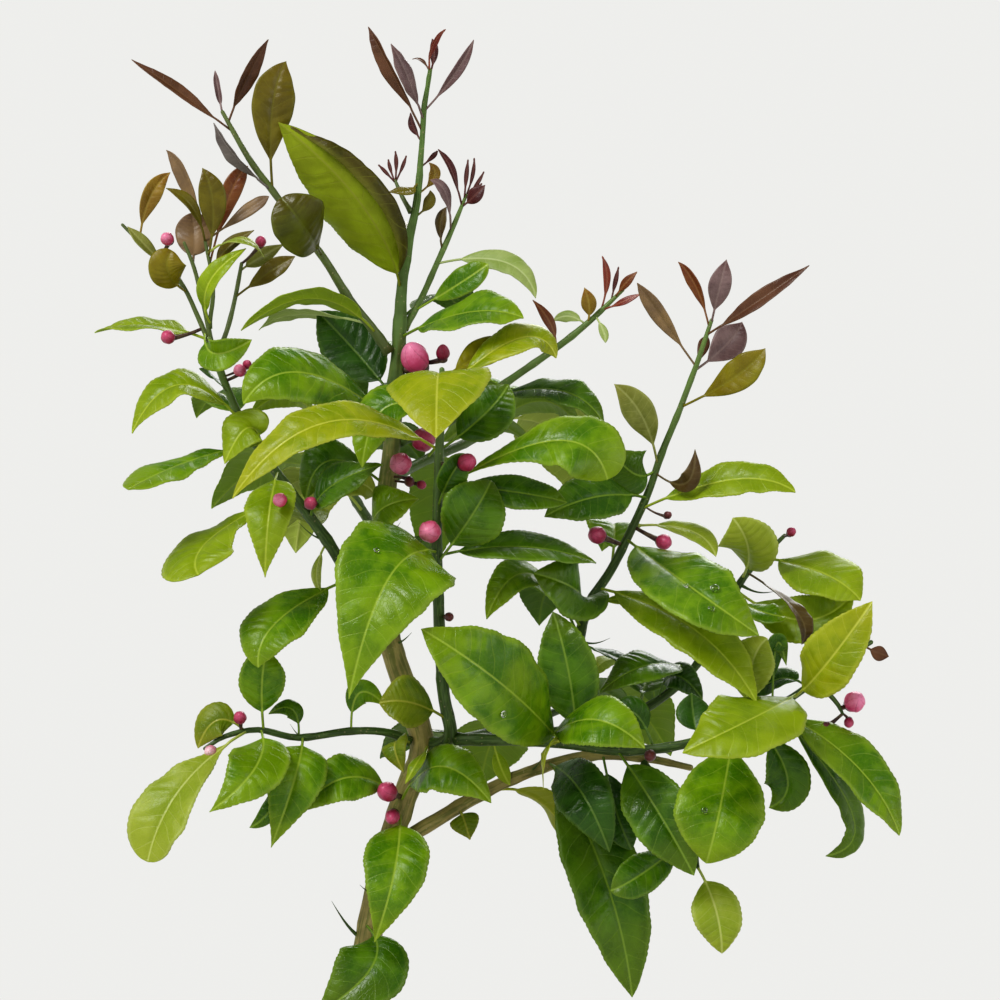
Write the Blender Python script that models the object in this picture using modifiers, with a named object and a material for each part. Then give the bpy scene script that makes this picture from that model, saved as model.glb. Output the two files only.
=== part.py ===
"""Potted lemon tree: a terracotta pot of soil, a bare trunk with its branches, and the leaves they carry.

Lengths in the tables are millimetres. X runs to the right, Y away from the front of the tree and Z up,
with the origin at the middle of the pot's base. The model itself is in metres.
"""
import math

import bmesh
import bpy
from mathutils import Vector

MM = 0.001

# Pot and soil
POT_HEIGHT = 205.0
POT_RIM_RADIUS = 108.0
POT_BAND_HEIGHT = 38.0
POT_BAND_STEP = 5.0
POT_BASE_RADIUS = 72.0
POT_WALL = 9.0
POT_FLOOR = 12.0
POT_EDGE_RADIUS = 3.0
SOIL_TOP = 185.0
SOIL_MOUND = 3.0
LATHE_STEPS = 48
FIT_GAP = 0.3

# Wood
FOOT_DEPTH = 55.0
POCKET_RADIUS = 9.0
TRUNK_SPACING = 13.0
TWIG_SPACING = 12.0
CUT_FACE_SIDES = 8

# Leaves
LEAF_THICKNESS = 0.8
STALK_LENGTH = 9.0
STALK_HALF_WIDTH = 0.7
STALK_GAP = 0.7
LEAF_ROWS = 7
LEAF_COLUMNS = 4
OUTLINE_RISE = 0.75
OUTLINE_FALL = 0.95
FOLD = 14.0
CURL = (-25.0, -25.0)

# Each stem is (parent, colour, [(x, y, z, radius), ...]), from where it leaves its parent to its end.
STEMS = {
    "trunk": (None, "bark", [
        (-5, 0, 130, 8.3), (-5, 0, 160, 8.3), (-5, 0, 188, 8.2), (-2, 0, 240, 7.4), (4, 0, 300, 6.6),
        (20, 0, 365, 6.0), (31, 0, 394, 6.0), (26, 0, 417, 5.8), (16, 0, 446, 5.5), (11, 0, 478, 5.2),
        (12, 0, 512, 4.8), (16, 0, 550, 4.3), (19, 0, 590, 3.9), (21, 0, 625, 3.5), (26, 0, 670, 2.5),
        (31, 0, 705, 2.1), (35, 0, 735, 1.3)]),
    "front_stem": ("trunk", "green", [
        (31, 0, 396, 3.4), (45, -14, 402, 3.3), (42, -26, 425, 3.0), (40, -34, 460, 2.8),
        (39, -38, 500, 2.5), (40, -40, 540, 2.2), (41.5, -42, 575, 1.8), (41.5, -43, 584, 1.3)]),
    "right_branch": ("front_stem", "green", [
        (44, -13, 401, 3.0), (60, -18, 401, 3.0), (80, -20, 401, 2.9), (105, -22, 399, 2.7),
        (130, -26, 396, 2.5), (160, -28, 399, 2.3), (190, -24, 409, 2.0), (215, -18, 422, 1.8),
        (240, -10, 440, 1.5), (255, -6, 449, 1.2)]),
    "rear_branch": ("trunk", "green", [
        (31, 0, 394, 3.0), (48, 8, 399, 2.9), (75, 16, 401, 2.7), (110, 20, 405, 2.5), (140, 22, 413, 2.3),
        (168, 26, 435, 2.1), (186, 30, 468, 1.9), (196, 32, 484, 1.7), (214, 30, 502, 1.0)]),
    "right_shoot": ("right_branch", "green", [
        (107, -22, 399, 2.8), (109, -6, 424, 2.7), (110, 8, 450, 2.6), (115, 14, 468, 2.5),
        (126, 16, 485, 2.4), (136, 14, 505, 2.2), (145, 12, 525, 2.1), (151, 10, 543, 2.0),
        (160, 8, 565, 1.8), (168.5, 6, 588, 1.6), (176, 5, 610, 1.2)]),
    "lower_branch": ("trunk", "bark", [
        (14, 0, 345, 3.6), (32, 6, 356, 3.5), (60, 12, 372, 3.3), (87, 18, 384, 3.0), (115, 22, 391, 2.6),
        (140, 26, 390, 2.2), (166, 26, 385, 1.6)]),
    "low_left_twig": ("trunk", "green", [
        (31, 0, 396, 2.2), (15, -9, 404, 2.0), (-5, -13, 405, 1.9), (-30, -17, 402, 1.7),
        (-50, -20, 406, 1.5), (-66, -23, 403, 1.2), (-76, -25, 397, 1.0)]),
    "left_branch": ("trunk", "green", [
        (12, 0, 467, 3.2), (-4, -9, 481, 3.0), (-16, -15, 500, 2.8), (-36, -21, 527, 2.5),
        (-47, -23, 542, 2.3), (-57, -23, 557, 2.1), (-66, -21, 577, 1.9), (-72, -19, 594, 1.6)]),
    "left_shoot": ("left_branch", "green", [
        (-72, -19, 592, 1.3), (-80, -17, 611, 1.2), (-90, -15, 630, 1.1), (-110, -11, 649, 0.9),
        (-118, -10, 657, 0.8)]),
    "upper_left_shoot": ("trunk", "green", [
        (19, 0, 587, 2.6), (7.5, -5, 604, 2.5), (-5, -10, 620, 2.3), (-17.5, -14, 640, 2.1),
        (-30, -16, 656, 1.9), (-42.5, -16, 673, 1.7), (-55, -16, 690, 1.5), (-68, -13, 713, 1.0)]),
    "upper_right_twig": ("trunk", "green", [
        (16, 0, 548, 2.4), (40, 10, 557, 2.2), (60, 18, 570, 2.0), (80, 22, 584, 1.9), (100, 24, 598, 1.7),
        (115, 24, 610, 1.5), (132, 24, 626, 0.9)]),
    "back_left_branch": ("trunk", "green", [
        (12, 0, 500, 2.8), (2, 28, 512, 2.6), (-8, 58, 528, 2.3), (-16, 86, 548, 1.8), (-20, 100, 566, 1.2)]),
    "back_right_branch": ("trunk", "green", [
        (14, 0, 530, 2.8), (32, 32, 540, 2.6), (54, 62, 550, 2.3), (72, 90, 562, 1.8), (80, 104, 574, 1.2)]),
    "back_low_branch": ("trunk", "green", [
        (30, 0, 392, 2.8), (48, 32, 398, 2.6), (76, 60, 404, 2.3), (102, 84, 412, 1.8), (116, 98, 420, 1.2)]),
}

# Each leaf is (colour, base, middle, tip, width, the way its upper side looks). The midrib is the
# parabola through the three points. Leaves named in LEAF_CURLS roll their two margins differently.
LEAVES = {
    "top_bronze": ("young", (31, -2, 704), (20, -8, 732), (4, -6, 756), 14, (-1, -1, 0)),
    "high_left_spear": ("young", (-64, -14, 704), (-91, -19, 724), (-113, -16, 739), 10, (0.4, -1, 0.6)),
    "high_left_olive": ("young", (-43, -16, 674), (-45, -21, 706), (-36, -18, 738), 24, (0.1, -1, 0)),
    "high_left_round": ("young", (-19, -15, 641), (-31, -28, 658), (-42, -30, 672), 29, (0.1, -1, 0.1)),
    "high_left_underside": ("bright", (20, -2, 627), (-2, -31, 662), (-39, -38, 706), 54, (0, 1, 0.15)),
    "high_left_arch": ("bright", (9, -5, 602), (-24, -30, 624), (-58, -34, 604), 24, (0, 0.45, 1)),
    "left_amber": ("young", (-110, -11, 648), (-108, -13, 669), (-94, -12, 683), 12, (0.3, -1, 0.2)),
    "left_flat": ("bright", (-74, -18, 600), (-104, -15, 607), (-132, -12, 604), 26, (0, -0.25, 1)),
    "left_hooked": ("bright", (-56, -23, 556), (-86, -36, 585), (-116, -38, 556), 24, (-0.1, -0.6, 1)),
    "left_drooping": ("bright", (-50, -23, 547), (-88, -40, 546), (-114, -66, 526), 27, (-0.3, -0.6, 1)),
    "left_low_curved": ("bright", (-30, -20, 518), (-74, -44, 513), (-82, -66, 484), 27, (-0.4, -0.6, 1)),
    "left_hanging": ("bright", (-40, -22, 534), (-43, -54, 514), (-45, -57, 482), 25, (-0.2, -1, 0.4)),
    "left_shaded": ("dark", (-6, -10, 480), (-43, -42, 468), (-53, -50, 436), 35, (-0.4, -1, 0.7)),
    "front_folded": ("bright", (41, -42, 550), (38, -84, 578), (48, -98, 588), 56, (0, 0.55, 1)),
    "front_long_arch": ("bright", (39, -39, 545), (-14, -72, 558), (-60, -78, 521), 27, (-0.1, -1, 1)),
    "front_largest": ("bright", (40, -40, 494), (16, -84, 482), (-3, -92, 424), 57, (-0.1, -1, 0.3)),
    "front_right_arch": ("bright", (40, -40, 525), (86, -66, 550), (127, -66, 530), 44, (0, -1, 0.8)),
    "front_upright": ("dark", (40, -38, 490), (56, -54, 512), (66, -46, 530), 32, (0.3, -1, 0.3)),
    "front_level": ("dark", (39, -37, 488), (80, -42, 499), (114, -34, 493), 26, (0.1, -0.5, 1)),
    "upper_arch": ("bright", (20, 0, 598), (52, -30, 616), (84, -42, 606), 36, (-0.1, -0.8, 1)),
    "upper_left_broad": ("bright", (16, 0, 560), (-18, -40, 586), (-56, -50, 567), 42, (0.1, -1, 0.7)),
    "right_bronze": ("young", (174, 5, 603), (201, -8, 617), (224, -10, 637), 12, (-0.4, -1, 0.3)),
    "right_mauve": ("young", (167, 7, 582), (183, 13, 596), (190, 14, 612), 20, (0, -1, 0.1)),
    "right_olive": ("young", (162, 8, 567), (186, -8, 578), (203, -12, 595), 24, (-0.2, -1, 0.3)),
    "right_arch": ("bright", (142, 12, 516), (186, -8, 533), (219, -14, 523), 20, (0, -0.5, 1)),
    "right_glossy": ("bright", (134, 14, 500), (163, -46, 478), (197, -56, 454), 41, (0.1, -1, 0.8)),
    "right_shaded": ("dark", (113, 11, 460), (109, -28, 473), (85, -36, 484), 32, (-0.2, -1, 0.4)),
    "far_right_upright": ("bright", (193, 31, 481), (189, 2, 491), (186, -10, 511), 37, (-0.2, -1, 0.2)),
    "far_right_arch": ("bright", (209, 31, 496), (230, 2, 491), (252, -10, 468), 34, (0.3, -0.7, 1)),
    "middle_glossy": ("bright", (100, -22, 400), (72, -76, 430), (32, -88, 458), 46, (0.1, -1, 0.35)),
    "right_hanging": ("bright", (186, -24, 408), (184, -60, 368), (174, -62, 336), 48, (0, -1, 0.1)),
    "far_right_end": ("bright", (216, -18, 422), (230, -42, 438), (257, -46, 470), 35, (-0.2, -1, 0.25)),
    "far_right_low": ("bright", (206, -20, 417), (245, -36, 390), (267, -40, 355), 32, (0.3, -0.8, 1)),
    "right_level_arch": ("bright", (226, -16, 429), (198, -66, 408), (161, -76, 396), 45, (0, -0.9, 1)),
    "low_right_long": ("dark", (96, 18, 387), (121, -6, 330), (136, -8, 272), 42, (0.2, -1, 0.1)),
    "low_left_curved": ("bright", (-47, -20, 405), (-54, -54, 392), (-73, -62, 364), 35, (0, -1, 0.3)),
    "low_left_hanging": ("bright", (-28, -17, 402), (-32, -40, 381), (-45, -44, 342), 33, (0.1, -1, 0.2)),
    "low_left_outer": ("bright", (-58, -22, 405), (-86, -46, 386), (-106, -54, 340), 34, (-0.5, -1, 0.6)),
    "trunk_hanging": ("bright", (20, -3, 364), (18, -36, 337), (8, -38, 302), 33, (0, -1, 0.15)),
    "back_left_hanging": ("bright", (-16, 84, 547), (-30, 126, 532), (-38, 140, 492), 40, (-0.2, 1, 0.5)),
    "back_left_arch": ("bright", (-5, 50, 524), (-44, 80, 540), (-80, 92, 516), 38, (-0.2, 0.7, 1)),
    "back_right_arch": ("bright", (70, 88, 561), (98, 122, 556), (112, 142, 520), 42, (0.3, 1, 0.5)),
    "back_middle_hanging": ("bright", (40, 44, 544), (38, 96, 526), (32, 112, 480), 44, (0, 1, 0.3)),
    "back_low_arch": ("bright", (100, 82, 411), (132, 112, 418), (160, 124, 386), 42, (0.4, 1, 0.8)),
}

LEAF_CURLS = {
    "high_left_underside": (-115.0, -10.0),
    "front_folded": (-10.0, -50.0),
    "front_largest": (-15.0, -15.0),
}

# Colour, roughness and specular level of each finish
FINISHES = {
    "terracotta": ((0.52, 0.20, 0.10), 0.85, 0.3),
    "soil": ((0.045, 0.028, 0.017), 0.95, 0.2),
    "bark": ((0.25, 0.18, 0.08), 0.75, 0.3),
    "green": ((0.07, 0.13, 0.03), 0.45, 0.5),
    "bright": ((0.16, 0.36, 0.01), 0.35, 0.5),
    "dark": ((0.03, 0.10, 0.015), 0.35, 0.5),
    "young": ((0.20, 0.13, 0.02), 0.40, 0.5),
}


def clear_scene():
    """Remove the scene's objects, so that only the tree is left."""
    for item in list(bpy.data.objects):
        bpy.data.objects.remove(item, do_unlink=True)


def make_material(name):
    """One node's own material, with the colour of its finish."""
    colour, roughness, specular = FINISHES[name.rpartition(".")[2]]
    material = bpy.data.materials.new(name)
    material.use_nodes = True
    shader = material.node_tree.nodes["Principled BSDF"]
    shader.inputs["Base Color"].default_value = (*colour, 1.0)
    shader.inputs["Roughness"].default_value = roughness
    shader.inputs["Specular IOR Level"].default_value = specular
    shader.inputs["Metallic"].default_value = 0.0
    return material


def add_node(name, data, finish, collection):
    """An object for one sub-part, in the tree's collection and with its own material."""
    item = bpy.data.objects.new(name, data)
    collection.objects.link(item)
    data.materials.append(make_material(name + "." + finish))
    return item


def catmull_rom(before, start, end, after, t):
    """A point on the smooth curve from start to end."""
    return 0.5 * (
        2.0 * start
        + (end - before) * t
        + (2.0 * before - 5.0 * start + 4.0 * end - after) * t * t
        + (3.0 * start - before - 3.0 * end + after) * t ** 3
    )


def smooth_route(points, spacing):
    """Points along a smooth curve through a stem's own points, each (centre, radius), in millimetres."""
    rows = [Vector(row) for row in points]
    rows = [2.0 * rows[0] - rows[1]] + rows + [2.0 * rows[-1] - rows[-2]]
    route = []
    for index in range(1, len(rows) - 2):
        before, start, end, after = rows[index - 1:index + 3]
        steps = max(1, round((end.xyz - start.xyz).length / spacing))
        for step in range(steps):
            row = catmull_rom(before, start, end, after, step / steps)
            route.append((row.xyz, row.w))
    route.append((rows[-2].xyz, rows[-2].w))
    return route


def bark_distance(point, route):
    """Distance from a point to the bark of a stem, less than zero inside it."""
    nearest = math.inf
    for (start, start_radius), (end, end_radius) in zip(route, route[1:]):
        span = end - start
        along = max(0.0, min(1.0, (point - start).dot(span) / span.length_squared))
        radius = start_radius + (end_radius - start_radius) * along
        nearest = min(nearest, (point - start - span * along).length - radius)
    return nearest


def cut_face_distance(centre, direction, radius, route):
    """Smallest distance from the rim of a stem's cut end to another stem's bark."""
    side = direction.orthogonal().normalized()
    other = direction.cross(side).normalized()
    nearest = math.inf
    for index in range(CUT_FACE_SIDES):
        angle = math.tau * index / CUT_FACE_SIDES
        rim = centre + radius * (side * math.cos(angle) + other * math.sin(angle))
        nearest = min(nearest, bark_distance(rim, route))
    return nearest


def trim_to_parent(route, parent_route):
    """Drop the part of a stem that lies inside its parent, and start it just clear of the bark."""
    for index, (start, end) in enumerate(zip(route, route[1:])):
        direction = (end[0] - start[0]).normalized()
        steps = max(1, round((end[0] - start[0]).length / FIT_GAP))
        for step in range(steps):
            centre = start[0].lerp(end[0], step / steps)
            radius = start[1] + (end[1] - start[1]) * step / steps
            if cut_face_distance(centre, direction, radius, parent_route) >= FIT_GAP:
                return [(centre, radius)] + route[index + 1:]
    raise ValueError("a stem lies inside its parent")


def stem_routes():
    """The smooth route of every stem, each one starting at its parent's bark."""
    routes = {}
    for name, (parent, _, points) in STEMS.items():
        spacing = TWIG_SPACING if parent else TRUNK_SPACING
        route = smooth_route(points, spacing)
        if parent:
            route = trim_to_parent(route, routes[parent])
        routes[name] = route
    return routes


def make_stem(name, route, finish, resolution, collection):
    """A tapering round stem with filled ends."""
    curve = bpy.data.curves.new(name, "CURVE")
    curve.dimensions = "3D"
    curve.bevel_depth = MM
    curve.bevel_resolution = resolution
    curve.use_fill_caps = True
    spline = curve.splines.new("POLY")
    spline.points.add(len(route) - 1)
    for point, (centre, radius) in zip(spline.points, route):
        point.co = (*(centre * MM), 1.0)
        point.radius = radius
    spline.use_smooth = True
    return add_node(name, curve, finish, collection)


def arc(centre_x, centre_z, radius, start_degrees, end_degrees, steps):
    """Points of a round edge on a turned profile."""
    points = []
    for step in range(steps + 1):
        angle = math.radians(start_degrees + (end_degrees - start_degrees) * step / steps)
        points.append((centre_x + radius * math.cos(angle), centre_z + radius * math.sin(angle)))
    return points


def turned(name, profile, finish, collection):
    """A solid turned about Z from a profile that runs from the axis, round the section, back to the axis."""
    mesh = bpy.data.meshes.new(name)
    shape = bmesh.new()
    rows = [shape.verts.new((x * MM, 0.0, z * MM)) for x, z in profile]
    for start, end in zip(rows, rows[1:]):
        shape.edges.new((start, end))
    shape.to_mesh(mesh)
    shape.free()
    item = add_node(name, mesh, finish, collection)
    screw = item.modifiers.new("Turn", "SCREW")
    screw.axis = "Z"
    screw.steps = LATHE_STEPS
    screw.render_steps = LATHE_STEPS
    screw.use_merge_vertices = True
    screw.merge_threshold = 0.0001
    screw.use_smooth_shade = True
    return item


def inner_radius(z):
    """Radius of the pot's tapering inner wall at a height."""
    base = POT_BASE_RADIUS - POT_WALL
    top = POT_RIM_RADIUS - POT_BAND_STEP - POT_WALL
    return base + (top - base) * z / POT_HEIGHT


def make_pot(collection):
    """A plain tapering pot with a raised band round its rim and a flat base."""
    edge = POT_EDGE_RADIUS
    band_foot = POT_HEIGHT - POT_BAND_HEIGHT
    wall_slope = (POT_RIM_RADIUS - POT_BAND_STEP - POT_BASE_RADIUS) / POT_HEIGHT
    under_band = POT_BASE_RADIUS + wall_slope * band_foot
    profile = [(0.0, POT_FLOOR), (inner_radius(POT_FLOOR) - edge, POT_FLOOR)]
    profile.append((inner_radius(POT_FLOOR + edge), POT_FLOOR + edge))
    profile += arc(inner_radius(POT_HEIGHT) + edge, POT_HEIGHT - edge, edge, 180, 90, 3)
    profile += arc(POT_RIM_RADIUS - edge, POT_HEIGHT - edge, edge, 90, 0, 3)
    profile += arc(POT_RIM_RADIUS - edge, band_foot + edge, edge, 0, -90, 2)
    profile.append((under_band, band_foot))
    profile += arc(POT_BASE_RADIUS - edge, edge, edge, 0, -90, 2)
    profile.append((0.0, 0.0))
    return turned("pot", profile, "terracotta", collection)


def make_soil(collection, cutters):
    """The soil, a little mounded, with a pocket that the foot of the trunk stands in."""
    bottom = POT_FLOOR + FIT_GAP
    foot_x, foot_y, foot_z, _ = STEMS["trunk"][2][0]
    edge = POT_EDGE_RADIUS + 1.0
    profile = [
        (0.0, SOIL_TOP + SOIL_MOUND),
        (inner_radius(SOIL_TOP) * 0.5, SOIL_TOP + SOIL_MOUND * 0.7),
        (inner_radius(SOIL_TOP) - FIT_GAP * 2, SOIL_TOP),
        (inner_radius(bottom + edge) - FIT_GAP * 2, bottom + edge),
        (inner_radius(bottom) - edge - FIT_GAP * 2, bottom),
        (0.0, bottom),
    ]
    soil = turned("soil", profile, "soil", collection)
    pocket_floor = foot_z - FIT_GAP
    bpy.ops.mesh.primitive_cylinder_add(
        vertices=24,
        radius=POCKET_RADIUS * MM,
        depth=2 * FOOT_DEPTH * MM + 0.02,
        location=(foot_x * MM, foot_y * MM, (pocket_floor + FOOT_DEPTH) * MM + 0.01),
    )
    pocket = bpy.context.active_object
    pocket.name = "foot_pocket"
    pocket.hide_render = True
    pocket.display_type = "WIRE"
    for owner in list(pocket.users_collection):
        owner.objects.unlink(pocket)
    cutters.objects.link(pocket)
    cut = soil.modifiers.new("Foot pocket", "BOOLEAN")
    cut.operation = "DIFFERENCE"
    cut.solver = "EXACT"
    cut.object = pocket
    return soil


def midrib(base, middle, tip):
    """The parabola through a leaf's three points: functions for its place and its direction."""
    start, centre, end = Vector(base), Vector(middle), Vector(tip)
    pull = 2.0 * centre - (start + end) / 2.0

    def place(t):
        return start * (1 - t) ** 2 + pull * 2 * t * (1 - t) + end * t * t

    def direction(t):
        return ((pull - start) * (1 - t) + (end - pull) * t).normalized()

    return place, direction


def blade_share(t):
    """Width of the blade at t from its base to its tip, as a share of its greatest width."""
    peak = OUTLINE_RISE / (OUTLINE_RISE + OUTLINE_FALL)
    greatest = peak ** OUTLINE_RISE * (1 - peak) ** OUTLINE_FALL
    return max(0.0, t) ** OUTLINE_RISE * max(0.0, 1 - t) ** OUTLINE_FALL / greatest


def stalk_start(place, routes):
    """How far along the midrib a leaf begins, just clear of the bark that it grows from."""
    steps = 60
    start = 0.0
    for step in range(steps // 3):
        point = place(step / steps)
        if min(bark_distance(point, route) for route in routes.values()) < STALK_GAP + LEAF_THICKNESS / 2:
            start = (step + 1) / steps
    return start


def across(half_width, fold, curl, u):
    """Where a point u of the way from the midrib to a margin lies, sideways and up."""
    steps = 4
    side = rise = 0.0
    for step in range(steps):
        slope = math.radians(fold + curl * u * (step + 0.5) / steps)
        side += half_width * u * math.cos(slope) / steps
        rise += half_width * u * math.sin(slope) / steps
    return side, rise


def make_leaf(name, leaf, routes, collection):
    """A stalk and a folded, curved blade, thickened from a surface."""
    finish, base, middle, tip, width, faces = leaf
    place, direction = midrib(base, middle, tip)
    start = stalk_start(place, routes)
    length = (Vector(middle) - Vector(base)).length + (Vector(tip) - Vector(middle)).length
    stalk_end = start + min(STALK_LENGTH / length, 0.16)
    curls = LEAF_CURLS.get(name, CURL)

    mesh = bpy.data.meshes.new("leaf_" + name)
    shape = bmesh.new()
    bmesh.ops.create_grid(shape, x_segments=LEAF_COLUMNS, y_segments=LEAF_ROWS, size=1.0)
    for vertex in shape.verts:
        row = (vertex.co.y + 1.0) / 2.0 * LEAF_ROWS
        blade = max(0.0, (row - 1.0) / (LEAF_ROWS - 1.0))
        t = start + (stalk_end - start) * row if row < 1.0 else stalk_end + (1.0 - stalk_end) * blade
        share = blade_share(blade)
        half_width = max(STALK_HALF_WIDTH, width / 2.0 * share)
        curl = curls[0] if vertex.co.x < 0.0 else curls[1]
        side, rise = across(half_width, FOLD * share, curl * share, abs(vertex.co.x))
        along = direction(t)
        up = Vector(faces)
        up = (up - up.dot(along) * along).normalized()
        sideways = along.cross(up)
        vertex.co = (place(t) + sideways * math.copysign(side, vertex.co.x) + up * rise) * MM
    shape.to_mesh(mesh)
    shape.free()
    mesh.shade_smooth()
    item = add_node("leaf_" + name, mesh, finish, collection)
    thicken = item.modifiers.new("Thickness", "SOLIDIFY")
    thicken.thickness = LEAF_THICKNESS * MM
    thicken.offset = 0.0
    return item


def main():
    """Build the tree."""
    clear_scene()
    tree = bpy.data.collections.new("potted_lemon_tree")
    cutters = bpy.data.collections.new("cutters")
    bpy.context.scene.collection.children.link(tree)
    bpy.context.scene.collection.children.link(cutters)
    make_pot(tree)
    make_soil(tree, cutters)
    routes = stem_routes()
    for name, (parent, finish, _) in STEMS.items():
        make_stem(name, routes[name], finish, 2 if parent else 4, tree)
    for name, leaf in LEAVES.items():
        make_leaf(name, leaf, routes, tree)


main()
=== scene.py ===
"""Potted lemon tree: the finish of every surface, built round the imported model.

Stems, leaves, buds, thorns and drops are worked out in millimetres; settings, pot, soil and stage are
in metres. X runs to the right, Y away from the front of the tree and Z up, from the middle of the base.
"""
import math
import random

import bpy
import numpy as np
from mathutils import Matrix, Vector, noise


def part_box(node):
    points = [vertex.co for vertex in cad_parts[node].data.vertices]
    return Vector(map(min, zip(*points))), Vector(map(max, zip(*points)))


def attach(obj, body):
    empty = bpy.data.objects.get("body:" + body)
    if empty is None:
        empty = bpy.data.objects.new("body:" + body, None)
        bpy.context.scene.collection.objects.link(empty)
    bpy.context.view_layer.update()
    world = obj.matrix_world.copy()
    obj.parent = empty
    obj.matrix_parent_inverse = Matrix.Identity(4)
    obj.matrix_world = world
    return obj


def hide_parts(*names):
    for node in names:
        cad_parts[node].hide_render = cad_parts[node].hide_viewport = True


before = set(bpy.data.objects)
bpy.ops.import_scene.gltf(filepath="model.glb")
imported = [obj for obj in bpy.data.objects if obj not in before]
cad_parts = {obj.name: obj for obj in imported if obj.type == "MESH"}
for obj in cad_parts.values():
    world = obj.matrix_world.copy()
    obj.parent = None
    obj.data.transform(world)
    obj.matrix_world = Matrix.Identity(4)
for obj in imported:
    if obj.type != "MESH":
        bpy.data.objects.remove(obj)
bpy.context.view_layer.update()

bl_info = {
    "name": "Potted Lemon Tree",
    "version": (1, 0, 0),
    "blender": (4, 5, 0),
    "location": "View3D > Sidebar > Lemon Tree",
    "description": "Builds a young lemon tree with its leaves, buds, bark, soil and terracotta pot",
    "category": "Add Mesh",
}

MM = 0.001
POT_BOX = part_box("pot")
SOIL_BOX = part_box("soil")


def numbered(family, rows):
    """Rows of a table under the names family_1, family_2 and so on."""
    return {f"{family}_{number}": row for number, row in enumerate(rows, 1)}


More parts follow.
